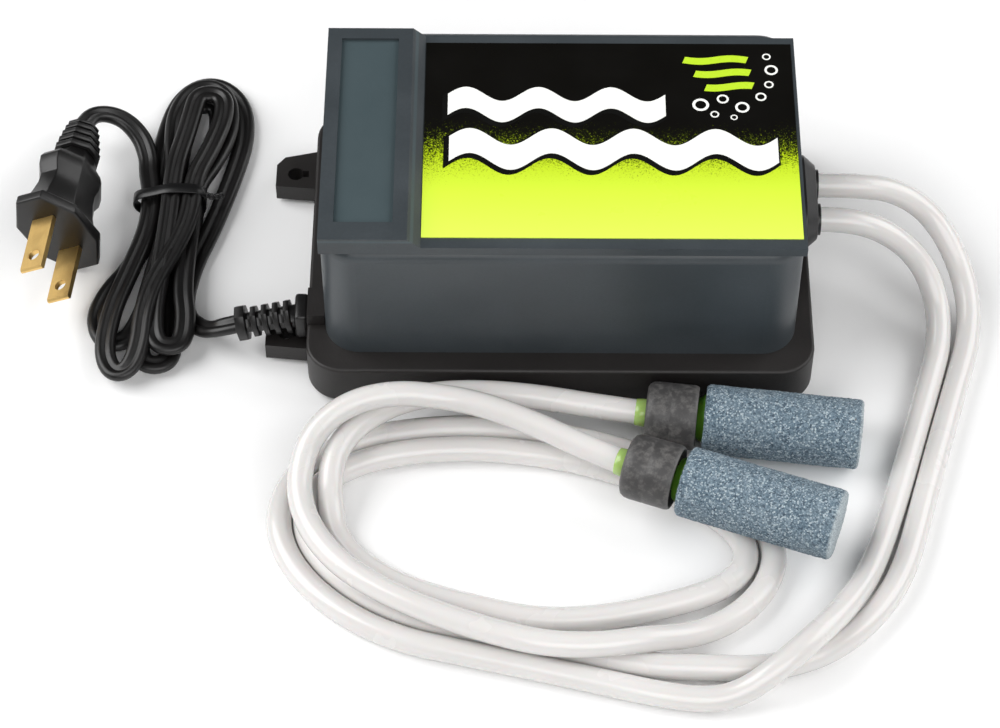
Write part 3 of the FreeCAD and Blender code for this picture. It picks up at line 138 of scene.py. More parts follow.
class Finish:
    """One material with its shader, and short ways to add nodes to it."""

    def __init__(self, name, base, roughness, **sockets):
        self.material = bpy.data.materials.new(name)
        self.material.use_nodes = True
        tree = self.material.node_tree
        self.nodes, self.links = tree.nodes, tree.links
        self.shader = self.nodes["Principled BSDF"]
        self.shader.inputs["Base Color"].default_value = base
        self.shader.inputs["Roughness"].default_value = roughness
        for socket, value in sockets.items():
            self.shader.inputs[socket.replace("_", " ")].default_value = value
        self.place = self.nodes.new("ShaderNodeTexCoord").outputs["Object"]

    def add(self, kind, inputs=(), **settings):
        node = self.nodes.new(kind)
        for key, value in settings.items():
            setattr(node, key, value)
        for key, value in dict(inputs).items():
            socket = node.inputs[key]
            if isinstance(value, bpy.types.NodeSocket):
                self.links.new(value, socket)
            else:
                socket.default_value = value
        return node

    def calc(self, operation, first, second):
        return self.add("ShaderNodeMath", {0: first, 1: second}, operation=operation).outputs[0]

    def noise(self, scale, detail=3.0, roughness=0.55, place=None, distortion=0.0):
        inputs = {"Vector": place or self.place, "Scale": scale, "Detail": detail, "Roughness": roughness,
                  "Distortion": distortion}
        return self.add("ShaderNodeTexNoise", inputs).outputs[0]

    def stretched(self, scale):
        """Coordinates whose patterns run long where the scale is small."""
        return self.add("ShaderNodeMapping", {"Vector": self.place, "Scale": scale}).outputs[0]

    def ramp(self, value, *stops):
        """Colours or levels along a value: each stop is (position, level or colour)."""
        node = self.add("ShaderNodeValToRGB", {0: value})
        elements = node.color_ramp.elements
        while len(elements) < len(stops):
            elements.new(0.5)
        for element, (position, level) in zip(elements, stops):
            element.position = position
            element.color = level if isinstance(level, tuple) else (level, level, level, 1)
        return node.outputs[0]

    def spread(self, value, low, high, new_low, new_high):
        inputs = {"Value": value, "From Min": low, "From Max": high, "To Min": new_low, "To Max": new_high}
        return self.add("ShaderNodeMapRange", inputs).outputs[0]

    def vary(self, noise, low, high):
        """Spreads most of a noise between two levels."""
        return self.spread(noise, NOISE_LOW, NOISE_HIGH, low, high)

    def mix(self, amount, first, second):
        """A mix of two colours. The Mix node keeps its colour sockets at 6 and 7, and their result at 2."""
        return self.add("ShaderNodeMix", {0: amount, 6: first, 7: second}, data_type="RGBA").outputs[2]

    def axis(self, letter):
        return self.add("ShaderNodeSeparateXYZ", {0: self.place}).outputs[letter]

    def between(self, letter, low, high):
        """1 where the object coordinate lies between low and high, in metres, and 0 outside."""
        value = self.axis(letter)
        up = self.spread(value, low - SOFT_EDGE, low + SOFT_EDGE, 0.0, 1.0)
        down = self.spread(value, high - SOFT_EDGE, high + SOFT_EDGE, 1.0, 0.0)
        return self.calc("MULTIPLY", up, down)

    def set_colour(self, value):
        self.links.new(value, self.shader.inputs["Base Color"])

    def set_roughness(self, value):
        self.links.new(value, self.shader.inputs["Roughness"])

    def set_bump(self, height, strength, distance):
        """Adds a bump, on top of any that is there already."""
        bump = self.add("ShaderNodeBump", {"Height": height, "Strength": strength, "Distance": distance})
        if self.shader.inputs["Normal"].is_linked:
            self.links.new(self.shader.inputs["Normal"].links[0].from_socket, bump.inputs["Normal"])
        self.links.new(bump.outputs[0], self.shader.inputs["Normal"])


def shade(base, factor):
    """A colour made darker or lighter."""
    return (*[min(1.0, c * factor) for c in base[:3]], 1.0)


# %% [markdown]
# ## Moulded plastics and rubbers
# The tray, the case, the grommet and the inner parts are all moulded. They differ in colour, gloss and in
# the grain that their moulds were given, so one function makes them all. Dust in the grain makes a dark
# plastic a little lighter in soft patches, and handling leaves faint long scuffs along X. A table pairs each
# of the frame's material slots with its finish, and the cells below add to it.
# %% Moulded finishes
SCUFF_STRETCH = (9.0, 160.0, 60.0)
DUSTY, SCUFFED, SPECKED = 1.6, 2.4, 0.55


def moulded(name, base, roughness, grain=1.0, dust=0.25, scuff=0.15, grain_scale=2600):
    finish = Finish(name, base, roughness)
    patches = finish.noise(38, detail=5, roughness=0.6)
    specks = finish.noise(1400, detail=2)
    dusty = finish.calc("MULTIPLY", finish.ramp(patches, (0.42, 0.0), (0.72, 1.0)), dust)
    stretched = finish.stretched(SCUFF_STRETCH)
    scuffs = finish.ramp(finish.noise(9, detail=8, roughness=0.7, place=stretched), (0.62, 0.0), (0.74, 1.0))
    worn = finish.mix(dusty, shade(base, 0.9), shade(base, DUSTY))
    worn = finish.mix(finish.calc("MULTIPLY", scuffs, scuff), worn, shade(base, SCUFFED))
    worn = finish.mix(finish.spread(specks, 0.35, 0.65, 0.0, 0.16), worn, shade(base, SPECKED))
    finish.set_colour(worn)
    rough = finish.vary(patches, roughness - 0.05, roughness + 0.09)
    finish.set_roughness(finish.calc("ADD", rough, finish.calc("MULTIPLY", scuffs, 0.08)))
    finish.set_bump(finish.noise(grain_scale, detail=3), 0.22 * grain, 0.00012)
    finish.set_bump(finish.noise(90, detail=2), 0.05, 0.0009)
    return finish


cad_finish = {
    "tray_plastic": moulded("tray plastic", colour(31, 28, 27), 0.5, grain=1.5, dust=0.3, grain_scale=1500),
    "inner_plastic": moulded("inner nylon", colour(44, 45, 48), 0.5),
    "nozzle_plastic": moulded("nozzle nylon", colour(30, 30, 31), 0.4),
    "bobbin_plastic": moulded("natural nylon", colour(224, 218, 198), 0.45, dust=0.1, scuff=0.05),
    "foot_rubber": moulded("foot rubber", colour(26, 26, 27), 0.78, grain=1.2, dust=0.5),
    "outlet_rubber": moulded("outlet rubber", colour(34, 34, 35), 0.42, dust=0.35),
    "inner_rubber": moulded("inner rubber", colour(28, 28, 29), 0.65),
    "inner_hose": moulded("hose rubber", colour(32, 32, 32), 0.55),
    "wire_sleeve": moulded("wire sleeve", colour(214, 213, 208), 0.4, dust=0.1, scuff=0.05),
}
tie_plastic = moulded("tie plastic", colour(14, 14, 15), 0.35, grain=0.6)


# %% [markdown]
# ## The case
# The case is a dark slate grey with a satin gloss. The long recess in its raised bar was moulded against a
# smoother, bluer insert, so a mask on the object coordinates gives that floor its own tint. Its place comes
# from the case's box in the frame.
# %% Case finish
RECESS_DEPTH, MASK_REACH = mm(1.0), mm(0.35)
PANEL_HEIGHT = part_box("housing_cover")[1][2] - RECESS_DEPTH


def case_finish():
    finish = moulded("case plastic", colour(61, 67, 71), 0.36, grain=0.7, dust=0.3, scuff=0.12)
    worn = finish.shader.inputs["Base Color"].links[0].from_socket
    floor = finish.between("Z", PANEL_HEIGHT - MASK_REACH, PANEL_HEIGHT + MASK_REACH)
    panel = finish.mix(finish.noise(60, detail=4), colour(60, 73, 77), colour(71, 84, 88))
    finish.set_colour(finish.mix(floor, worn, panel))
    return finish


cad_finish["cover_plastic"] = case_finish()


# %% [markdown]
# ## The label's ground
# The label is printed film: near black above, sprayed into lime green below, where the spray shows as dots.
# The change follows Y, and a fine noise added to it before a steep ramp breaks the edge into those dots.
# %% Label finish
label_low, label_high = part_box("top_label")
SPRAY_HEIGHT, SPRAY_REACH, SPRAY_WAVER = mm(27.0), mm(13.0), mm(1.5)
SPRAY_MIDDLE = label_low[1] + SPRAY_HEIGHT
DOT_STRENGTH = 0.42


def label_finish():
    finish = Finish("label film", colour(14, 13, 11), 0.3, Specular_IOR_Level=0.25)
    height = finish.axis("Y")
    waver = finish.vary(finish.noise(45, detail=2), -SPRAY_WAVER, SPRAY_WAVER)
    along = finish.spread(finish.calc("ADD", height, waver), SPRAY_MIDDLE - SPRAY_REACH,
                          SPRAY_MIDDLE + SPRAY_REACH, 0.0, 1.0)
    dots = finish.vary(finish.noise(2300, detail=5, roughness=0.85), -DOT_STRENGTH, DOT_STRENGTH)
    dark = finish.ramp(finish.calc("ADD", along, dots), (0.4, 0.0), (0.6, 1.0))
    green = finish.ramp(finish.spread(height, label_low[1], SPRAY_MIDDLE, 0.0, 1.0),
                        (0.0, colour(222, 247, 92)), (0.55, colour(212, 240, 66)),
                        (1.0, colour(186, 214, 26)))
    finish.set_colour(finish.mix(dark, green, colour(12, 11, 9)))
    finish.set_roughness(finish.vary(finish.noise(70, detail=4), 0.26, 0.36))
    finish.set_bump(finish.noise(160, detail=2), 0.05, 0.0004)
    return finish


cad_finish["label"] = label_finish()


# %% [markdown]
# ## Metals
# Screws, straps and pins are zinc plated, the plug's blades are rolled brass and the coil's core is a stack
# of varnished sheets. Each has a fine grain in one direction, made by stretching the noise.
# %% Metal finishes
def metal(name, base, roughness, stretch=(1, 1, 1), grain_scale=900, tarnish=0.3, metallic=1.0):
    finish = Finish(name, base, roughness, Metallic=metallic)
    grain = finish.noise(grain_scale, detail=5, roughness=0.7, place=finish.stretched(stretch))
    clouds = finish.noise(120, detail=5, roughness=0.65)
    stained = finish.mix(finish.ramp(clouds, (0.45, 0.0), (0.8, tarnish)), base, shade(base, 0.45))
    finish.set_colour(finish.mix(finish.vary(grain, 0.0, 0.25), stained, shade(base, 1.25)))
    finish.set_roughness(finish.spread(clouds, 0.3, 0.75, roughness - 0.06, roughness + 0.16))
    finish.set_bump(grain, 0.15, 0.00008)
    return finish


cad_finish |= {
    "screw_steel": metal("zinc plated screw", colour(196, 196, 190), 0.33),
    "plated_steel": metal("zinc plate", colour(190, 190, 182), 0.38, stretch=(0.15, 1, 1)),
    "core_steel": metal("core laminations", colour(92, 92, 96), 0.5, stretch=(0.02, 0.02, 1),
                        grain_scale=2600),
    "magnet_ferrite": metal("ferrite", colour(66, 66, 68), 0.6, tarnish=0.5, metallic=0.4),
    "blade_brass": metal("plug brass", colour(238, 200, 128), 0.36, stretch=(1, 0.12, 1), tarnish=0.5),
}


# %% [markdown]
# ## Wound copper, felt and the green nipples
# Three small finishes: copper wire shows its turns as fine bands along X, felt is a tangle of pale fibres,
# and the stones' nipples are a clear bright green that lets some light in.
# %% Copper, felt and green plastic
def copper_finish():
    finish = Finish("enamelled copper", colour(150, 78, 38), 0.3, Coat_Weight=0.6, Coat_Roughness=0.2)
    bands = finish.add("ShaderNodeTexWave", {"Vector": finish.place, "Scale": 480.0, "Distortion": 0.4},
                       bands_direction="X")
    finish.set_colour(finish.mix(bands.outputs[1], colour(96, 44, 20), colour(176, 98, 48)))
    finish.set_bump(bands.outputs[1], 0.5, 0.0002)
    return finish


def felt_finish():
    finish = Finish("wool felt", colour(214, 208, 192), 0.95, Sheen_Weight=0.4)
    fibres = finish.noise(1500, detail=8, roughness=0.8, distortion=1.2)
    finish.set_colour(finish.mix(fibres, colour(188, 180, 160), colour(232, 228, 214)))
    finish.set_bump(fibres, 0.7, 0.0005)
    return finish


def green_finish():
    finish = Finish("green plastic", colour(112, 172, 44), 0.35, Subsurface_Weight=0.25,
                    Subsurface_Scale=0.004)
    clouds = finish.noise(220, detail=4)
    finish.set_colour(finish.mix(clouds, colour(62, 104, 26), colour(96, 146, 44)))
    finish.set_bump(finish.noise(900, detail=3), 0.15, 0.0002)
    return finish


cad_finish |= {"copper_wire": copper_finish(), "felt": felt_finish(), "nipple_green": green_finish()}


# %% [markdown]
# ## Dressing the frame's own nodes
# A CAD node keeps its mesh and only gets a finish. The record says which node uses which slot.
# %% Finishes for the CAD nodes
for part in frame["record"]["subparts"]:
    finish = cad_finish.get(part["material_slot"])
    if finish:
        node_mesh = nodes_of_cad[part["node"]].data
        node_mesh.materials.clear()
        node_mesh.materials.append(finish.material)
print(len(cad_finish), "finishes dress the frame's nodes")


# %% [markdown]
# ## The diaphragms
# A diaphragm's rim is clamped in the head and its middle in the arm, so neither body carries it alone. Each
# is a merged copy of its CAD node, and the node itself is hidden.
# %% Diaphragms between the head and the arm
RUBBER_THICK, WELD = mm(1.2), mm(0.001)


def flexing_diaphragm(side):
    node = "diaphragm_" + side
    start_fresh()
    rubber = nodes_of_cad[node].copy()
    rubber.data = nodes_of_cad[node].data.copy()
    rubber.parent = None
    rubber.matrix_world = nodes_of_cad[node].matrix_world
    for key in list(rubber.keys()):  # the frame's own marks belong to the node, not to its copy
        del rubber[key]
    bpy.context.collection.objects.link(rubber)
    only(rubber)
    bpy.ops.object.mode_set(mode="EDIT")
    bpy.ops.mesh.select_all(action="SELECT")
    bpy.ops.mesh.remove_doubles(threshold=WELD)
    bpy.ops.object.mode_set(mode="OBJECT")
    rubber.name = node + "_flexing"
    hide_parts(node)
    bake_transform(rubber)


flexing_diaphragm("left")
flexing_diaphragm("right")


# %% [markdown]
# ## Silicone for the air tubes
# Airline tubing is soft, milky silicone: light goes in, scatters and comes out again, so its shadows are
# pale. A bright base with a little shallow subsurface scattering gives the milk, and a coat gives the wet
# gloss. The tubes press on each other in the coil, and deep scattering or transmission would show that.
# %% Silicone finish
def silicone_finish(name, milk, light):
    finish = Finish(name, milk, 0.2, Subsurface_Weight=0.12, Subsurface_Scale=0.0015, Coat_Weight=0.3,
                    Coat_Roughness=0.1)
    finish.set_colour(finish.mix(finish.noise(28, detail=2), milk, light))
    finish.set_roughness(finish.vary(finish.noise(60, detail=3), 0.18, 0.3))
    finish.set_bump(finish.noise(35, detail=1), 0.03, 0.001)
    return finish


silicone = silicone_finish("milky silicone", colour(212, 209, 207), colour(226, 224, 222))


# %% [markdown]
# ## Vinyl for the power cord
# Flexible black vinyl is glossier than the case and takes fine creases and dust.
# %% Vinyl finish
def vinyl_finish():
    finish = moulded("cord vinyl", colour(19, 18, 18), 0.36, grain=0.4, dust=0.25, scuff=0.15)
    finish.set_bump(finish.noise(520, detail=4, roughness=0.7), 0.1, 0.0003)
    return finish


cord_vinyl = vinyl_finish()


# %% [markdown]
# ## The air tubes
# Two limp tubes leave the outlets, droop to the floor and run side by side round the front of the pump. The
# front outlet's tube passes over the other, and together they make a turn and a half of loose coil, which
# ends at the two stones. A NURBS curve of order three follows each list of points, given in millimetres, as
# a limp tube would: it cuts every corner softly.
# %% Routes of the air tubes
TUBE = mm(6.35)
nozzle_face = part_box("outlet_nozzles")[1][0] / MM
REAR_TAIL = [(nozzle_face, 4.75, 30.0), (75.4, 4.75, 30.0), (86.6, 6.3, 26.4), (96.4, 4.6, 18.8),
             (103.2, -3.6, 10.8), (105.9, -14.6, 5.2), (104.4, -26.5, 3.4), (100.8, -38.0, 3.3),
             (96.6, -51.5, 3.3), (90.0, -73.5, 3.3), (83.6, -95.5, 3.3), (76.2, -107.8, 3.3),
             (66.8, -117.2, 3.3), (56.2, -122.4, 3.3), (45.2, -124.3, 3.3), (34.0, -123.8, 3.3)]
FRONT_TAIL = [(nozzle_face, -6.75, 30.0), (74.0, -6.75, 30.0), (84.0, -6.9, 25.0), (92.4, -9.0, 17.0),
              (97.0, -15.4, 9.2), (97.2, -26.4, 4.4), (93.6, -39.0, 3.3), (89.2, -53.4, 3.3),
              (82.6, -75.4, 3.3), (75.4, -96.0, 3.7), (68.4, -108.6, 7.2), (59.8, -119.6, 10.6),
              (50.4, -128.0, 9.2), (42.2, -132.0, 4.8), (34.0, -133.0, 3.3)]
REAR_COIL = [(22.5, -123.6, 3.3), (9.0, -121.0, 3.3), (-7.0, -117.1, 3.3), (-22.0, -113.6, 3.3),
             (-35.0, -110.2, 3.3), (-46.6, -104.6, 3.3), (-55.6, -97.2, 3.3), (-61.4, -89.0, 3.3),
             (-63.0, -81.2, 3.3), (-61.2, -73.6, 3.3), (-55.8, -67.4, 3.3), (-47.2, -63.0, 3.3),
             (-35.4, -60.4, 3.3), (-21.0, -59.6, 3.3), (-7.0, -61.0, 3.3), (7.0, -64.0, 3.3),
             (20.5, -69.2, 3.3), (33.4, -76.2, 3.3), (42.2, -83.4, 3.3), (45.6, -90.4, 3.3),
             (43.6, -97.4, 3.3), (36.0, -102.8, 3.3), (22.4, -107.2, 3.3), (8.0, -110.4, 3.3),
             (-7.0, -110.8, 3.3), (-21.0, -107.2, 3.3), (-32.6, -103.8, 3.3), (-42.8, -99.0, 3.3),
             (-50.8, -92.6, 3.3), (-55.2, -86.0, 3.4), (-56.4, -79.6, 5.0), (-56.8, -72.8, 9.4),
             (-55.2, -65.0, 10.8), (-49.6, -57.4, 11.4), (-40.5, -51.4, 11.8)]
FRONT_COIL = [(22.0, -131.2, 3.3), (8.0, -127.6, 3.3), (-8.0, -123.7, 3.3), (-24.0, -120.0, 3.3),
              (-38.0, -116.7, 3.3), (-50.5, -110.4, 3.3), (-60.8, -101.6, 3.3), (-67.4, -91.6, 3.3),
              (-69.6, -81.4, 3.3), (-67.4, -71.2, 3.3), (-60.6, -62.6, 3.3), (-50.2, -57.0, 3.3),
              (-36.5, -54.0, 3.3), (-21.0, -53.0, 3.3), (-6.0, -54.4, 3.3), (9.0, -57.6, 3.3),
              (23.0, -62.8, 3.3), (37.0, -70.2, 3.3), (47.8, -79.2, 3.3), (52.6, -89.6, 3.3),
              (50.2, -100.4, 3.3), (42.6, -109.4, 3.3), (31.8, -115.4, 4.0), (20.8, -118.8, 8.0),
              (8.5, -122.0, 9.8), (-4.0, -121.6, 9.8), (-16.0, -118.4, 9.8), (-28.0, -114.0, 9.8),
              (-40.0, -108.4, 9.8), (-51.2, -101.2, 9.8), (-59.2, -92.0, 9.8), (-63.6, -82.0, 9.8),
              (-64.2, -71.8, 11.0), (-60.8, -62.4, 14.4), (-52.4, -56.2, 17.4), (-41.5, -53.6, 18.2)]
REAR_END = [(-30.0, -48.6, 11.6), (-18.0, -48.2, 11.4), (-5.0, -49.0, 10.6), (9.5, -51.0, 9.4),
            (21.4, -52.5, 8.85)]
FRONT_END = [(-30.0, -53.6, 16.9), (-18.5, -56.4, 16.9), (-5.5, -62.2, 16.4), (6.5, -68.6, 15.6),
             (16.2, -73.0, 15.3)]


# %% [markdown]
# One function makes every curve of this lesson. Its order and its ends are set after its points are added,
# because a spline of one point can't take them. With a bevel depth a curve is a tube.
# %% Curves and tubes
def curve_piece(name, points, kind="NURBS", dimensions="3D", closed=False, **settings):
    """A curve of order three through control points in millimetres."""
    curve = bpy.data.curves.new(name, "CURVE")
    curve.dimensions = dimensions
    spline = curve.splines.new(kind)
    spline.points.add(len(points) - 1)
    for control, point in zip(spline.points, points):
        control.co = (*mm(*point), 1.0)
    spline.order_u = 3
    spline.use_cyclic_u = closed
    spline.use_endpoint_u = not closed
    for key, value in settings.items():
        setattr(curve, key, value)
    piece = bpy.data.objects.new(name, curve)
    bpy.context.collection.objects.link(piece)
    return piece


def tube_along(name, points):
    return curve_piece(name, points, resolution_u=12, bevel_depth=TUBE / 2, bevel_resolution=6,
                       use_fill_caps=True)


def as_mesh(piece):
    """Makes a tube a mesh, so that its box is exact, and returns its line and the line's length."""
    depth, profile = piece.data.bevel_depth, piece.data.bevel_object
    piece.data.bevel_depth, piece.data.bevel_object = 0.0, None  # a bare line, while it is read
    bpy.context.view_layer.update()
    bare = bpy.data.meshes.new_from_object(piece.evaluated_get(bpy.context.evaluated_depsgraph_get()))
    piece.data.bevel_depth, piece.data.bevel_object = depth, profile
    line = [tuple(v.co) for v in bare.vertices]
    bpy.data.meshes.remove(bare)
    only(piece)
    bpy.ops.object.convert(target="MESH")
    length = sum((Vector(a) - Vector(b)).length for a, b in zip(line, line[1:]))
    print(piece.name, "is", round(length, 3), "m long")
    return line, length


rear_tube = tube_along("air_tube_rear_loose", REAR_TAIL + REAR_COIL + REAR_END)
front_tube = tube_along("air_tube_front_loose", FRONT_TAIL + FRONT_COIL + FRONT_END)
cord_lines = {tube.name: as_mesh(tube) for tube in (rear_tube, front_tube)}
for tube in (rear_tube, front_tube):
    tube.data.shade_smooth()
hand_over(rear_tube, "air_tube_rear_loose", silicone,
          ["air_tube_rear", "air_tube_coil", "tube_end_rear"])
hand_over(front_tube, "air_tube_front_loose", silicone,
          ["air_tube_front", "tube_end_front"])


# %% [markdown]
# ## The power cord
# The cord is flat: two insulated wires side by side with a groove between them. A curve takes such a section
# from a second, closed curve, its bevel object. Between its two ends the cord is folded into a hank: each
# pass climbs through the tie, bends over at the top, comes down through the tie again and bends back at the
# bottom, and the bends differ in size, as they do in a hank wound round two fingers.
# %% Section of the flat cord
CORD_WIDTH, CORD_THICK = 5.4, 2.75
LOBE_ARC, LOBE_STEPS = 300, 9


def flat_section():
    """A closed section like a figure eight, seen along the cord."""
    lobe, radius = (CORD_WIDTH - CORD_THICK) / 2, CORD_THICK / 2
    outline = []
    for side in (1, -1):
        for step in range(LOBE_STEPS + 1):
            turn = math.radians(LOBE_ARC * step / LOBE_STEPS - LOBE_ARC / 2)
            outline.append((side * (lobe + radius * math.cos(turn)), side * radius * math.sin(turn), 0.0))
    section = curve_piece("flat_cord_section", outline, kind="POLY", dimensions="2D", closed=True)
    section.hide_render = True
    return section


# %% Route of the power cord
RELIEF_TIP = (-82.04, -25.3, 9.79)
CORD_START = [RELIEF_TIP, (-86.6, -25.7, 8.6), (-90.4, -23.6, 5.0), (-93.5, -20.5, 2.9), (-96.2, -17.8, 2.9)]
HANK = [
    # the first strand, beside the tie, and the widest loop
    (-97.4, -11.5, 2.3), (-95.8, 0.0, 2.1), (-92.2, 11.0, 2.1), (-89.4, 21.4, 2.1), (-86.4, 34.0, 2.1),
    (-84.6, 45.0, 2.1), (-85.6, 56.0, 2.1), (-91.0, 63.6, 2.1), (-97.6, 64.6, 2.1), (-103.4, 58.6, 2.1),
    (-106.2, 46.0, 2.1), (-107.8, 30.0, 2.1), (-107.8, 12.0, 2.1),
    # the loop at the left of the foot, then up the middle
    (-111.6, 0.0, 2.1), (-117.4, -9.0, 2.1), (-120.0, -18.0, 2.1), (-117.0, -25.6, 2.1),
    (-111.2, -25.4, 2.1), (-107.8, -17.0, 2.1), (-105.4, -4.0, 2.1), (-102.3, 12.0, 2.1),
    (-102.3, 30.0, 2.1),
    # a tight fold at the head, then down the right
    (-101.6, 41.0, 2.1), (-101.0, 50.0, 2.1), (-99.6, 57.2, 2.1), (-92.8, 57.4, 2.1), (-91.8, 49.0, 2.1),
    (-92.8, 40.0, 2.1), (-96.6, 30.0, 2.1), (-96.8, 12.0, 2.3),
    # the middle loop at the foot, then up the middle in the second layer
    (-99.4, 0.0, 2.1), (-100.6, -12.0, 2.1), (-99.4, -24.0, 2.1), (-99.8, -32.8, 2.2), (-107.0, -33.4, 2.9),
    (-107.9, -24.0, 4.6), (-105.8, -8.0, 5.1), (-102.5, 12.0, 5.0), (-102.5, 30.0, 5.0),
    # the second wide loop at the head, then down the right
    (-103.6, 42.0, 5.0), (-103.4, 52.0, 5.0), (-99.8, 60.0, 5.0), (-94.0, 61.6, 5.0), (-89.4, 56.0, 5.0),
    (-88.6, 45.0, 5.0), (-92.0, 34.0, 5.0), (-96.9, 24.0, 5.0), (-97.0, 12.0, 5.1),
    # the right loop at the foot, over the cord's first strand, then up on top
    (-97.4, 0.0, 6.0), (-97.4, -12.0, 6.4), (-95.8, -21.0, 6.2), (-96.6, -29.4, 5.4), (-103.2, -29.6, 6.0),
    (-104.4, -20.0, 7.4), (-103.4, -6.0, 7.9), (-102.4, 12.0, 7.9), (-102.2, 30.0, 7.9),
    # the second tight fold at the head, then down on top and across to the left
    (-100.0, 41.0, 7.9), (-98.8, 49.0, 7.9), (-97.6, 56.4, 7.8), (-90.8, 56.0, 7.6), (-90.0, 48.0, 7.7),
    (-93.0, 36.0, 7.9), (-96.8, 26.0, 7.9), (-97.0, 12.0, 8.0), (-100.6, 0.0, 8.1), (-104.6, -10.0, 8.3),
    # the lowest loop at the foot, then up the left to the plug
    (-106.8, -20.0, 8.0), (-107.0, -29.4, 6.6), (-109.2, -36.2, 4.6), (-113.6, -36.8, 3.4),
    (-116.6, -30.6, 4.2), (-115.6, -18.0, 5.0), (-111.8, -4.0, 5.0), (-108.0, 10.0, 5.0),
    (-107.8, 22.0, 5.0)]
PLUG_LEAD = [(-109.6, 31.0, 3.8), (-109.9, 36.2, 3.8), (-112.2, 42.6, 5.4), (-117.0, 46.8, 8.0),
             (-122.6, 46.4, 10.8), (-126.2, 42.2, 13.0)]


# %% [markdown]
# ## The plug's own frame
# The plug lies beside the hank on one edge. Its pieces are made upright at the origin, with the blades along
# +Z, and one matrix then lays each of them in its place.
# %% Plug frame
PLUG_FACE = mm(-129.8, -0.5, 15.2)
PLUG_AIM = Vector((-0.09, -0.995, 0)).normalized()
PLUG_ROLL = math.radians(26)
PLUG_BODY, PLUG_RELIEF = mm(26.5), mm(10.5)


def upright_frame(place, aim, roll=0.0):
    """The matrix that lays +Z along aim at place, with X level and then rolled about aim."""
    level = Vector((-aim.y, aim.x, 0)).normalized()
    wide = Matrix.Rotation(roll, 3, aim) @ level
    return Matrix.Translation(place) @ Matrix((wide, aim.cross(wide), aim)).transposed().to_4x4()


plug_place = upright_frame(PLUG_FACE, PLUG_AIM, PLUG_ROLL)
plug_tip = plug_place @ Vector((0, 0, -PLUG_BODY - PLUG_RELIEF))
print("the cord enters the plug at", [round(v, 4) for v in plug_tip])


# %% Power cord
def smooth(piece, angle):
    """Smooth shading, except at edges sharper than an angle in degrees."""
    only(piece)
    bpy.ops.object.shade_smooth_by_angle(angle=math.radians(angle))


power_cord = curve_piece("power_cord_loose", CORD_START + HANK + PLUG_LEAD + [tuple(plug_tip / MM)],
                         resolution_u=8, use_fill_caps=True, twist_mode="Z_UP", bevel_mode="OBJECT",
                         bevel_object=flat_section())
cord_lines[power_cord.name] = as_mesh(power_cord)
smooth(power_cord, 50)
hand_over(power_cord, "power_cord_loose", cord_vinyl, ["power_cord", "cord_hank", "plug_lead"])


# %% [markdown]
# ## Drawing out a shape from a ring
# A plug, a ring and a stone are all drawn out of one flat ring of points, as on a potter's wheel: the ring's
# face is extruded to the next height and resized to the next width and length, again and again.
# %% Shapes drawn out of a ring
def drawn_out(stations, sides, turn=0.0):
    """A closed solid through stations of height, width and length, in millimetres."""
    start_fresh()
    height, width, length = stations[0]
    bpy.ops.mesh.primitive_circle_add(vertices=sides, radius=0.5, fill_type="NGON", rotation=(0, 0, turn))
    piece = bpy.context.object
    bpy.ops.object.transform_apply(rotation=True)
    widest = max(v.co.x for v in piece.data.vertices)
    longest = max(v.co.y for v in piece.data.vertices)
    bpy.ops.object.mode_set(mode="EDIT")
    bpy.ops.transform.resize(value=(mm(width) / 2 / widest, mm(length) / 2 / longest, 1),
                             center_override=(0, 0, 0))
    bpy.ops.transform.translate(value=(0, 0, mm(height)))
    for new_height, new_width, new_length in stations[1:]:
        bpy.ops.mesh.extrude_region_move(TRANSFORM_OT_translate={"value": (0, 0, mm(new_height - height))})
        bpy.ops.transform.resize(value=(new_width / width, new_length / length, 1),
                                 center_override=(0, 0, mm(new_height)))
        height, width, length = new_height, new_width, new_length
    bpy.ops.mesh.select_all(action="SELECT")
    bpy.ops.mesh.normals_make_consistent(inside=False)
    bpy.ops.object.mode_set(mode="OBJECT")
    return piece


def modifier(piece, kind, **settings):
    made = piece.modifiers.new(kind.lower(), kind)
    for key, value in settings.items():
        setattr(made, key, value)
    return made


def apply_modifiers(piece):
    only(piece)
    for modifier in list(piece.modifiers):
        bpy.ops.object.modifier_apply(modifier=modifier.name)


# %% [markdown]
# ## The plug
# A moulded plug has a broad eight-sided face to push on, a waist for the fingers, a shoulder and a neck. A
# bevel rounds the edges between its eight sides and leaves the flats between them.
# %% Plug body
PLUG_STATIONS = [(0, 17.0, 27.5), (-0.3, 18.0, 28.5), (-2.6, 18.0, 28.5), (-3.2, 17.2, 27.4),
                 (-4.4, 14.6, 23.0), (-7.5, 13.0, 21.0), (-11.5, 12.2, 18.6), (-14.5, 12.2, 18.2),
                 (-17.0, 13.2, 20.8), (-19.6, 13.4, 21.2), (-21.2, 12.6, 19.4), (-23.0, 10.6, 14.4),
                 (-26.5, 9.0, 9.4)]
MOULDING_ANGLE = 40


def eight_sided(stations, place, bevel, segments, sharp):
    """A drawn-out moulding whose edges sharper than some degrees are bevelled, laid by a matrix."""
    piece = drawn_out(stations, sides=8, turn=math.pi / 8)
    modifier(piece, "BEVEL", width=mm(bevel), segments=segments, limit_method="ANGLE",
             angle_limit=math.radians(sharp))
    apply_modifiers(piece)
    piece.data.transform(place)
    smooth(piece, MOULDING_ANGLE)
    return piece


plug = eight_sided(PLUG_STATIONS, plug_place, bevel=1.1, segments=4, sharp=24)
hand_over(plug, "plug_moulding", cord_vinyl, ["plug_body"])
print("the plug has", len(plug.data.polygons), "faces")


# %% [markdown]
# ## Strain reliefs
# A strain relief is a core with ribs, so the cord can only bend gently. Both reliefs are drawn out of an
# eight-sided ring: the core's size and the ribs' size take turns, and each rib is a flat plate. The one on
# the case ends in a taller collar and starts at a square root.
# %% Ribs
RIB_EDGES = {"bevel": 0.22, "segments": 2, "sharp": 50}


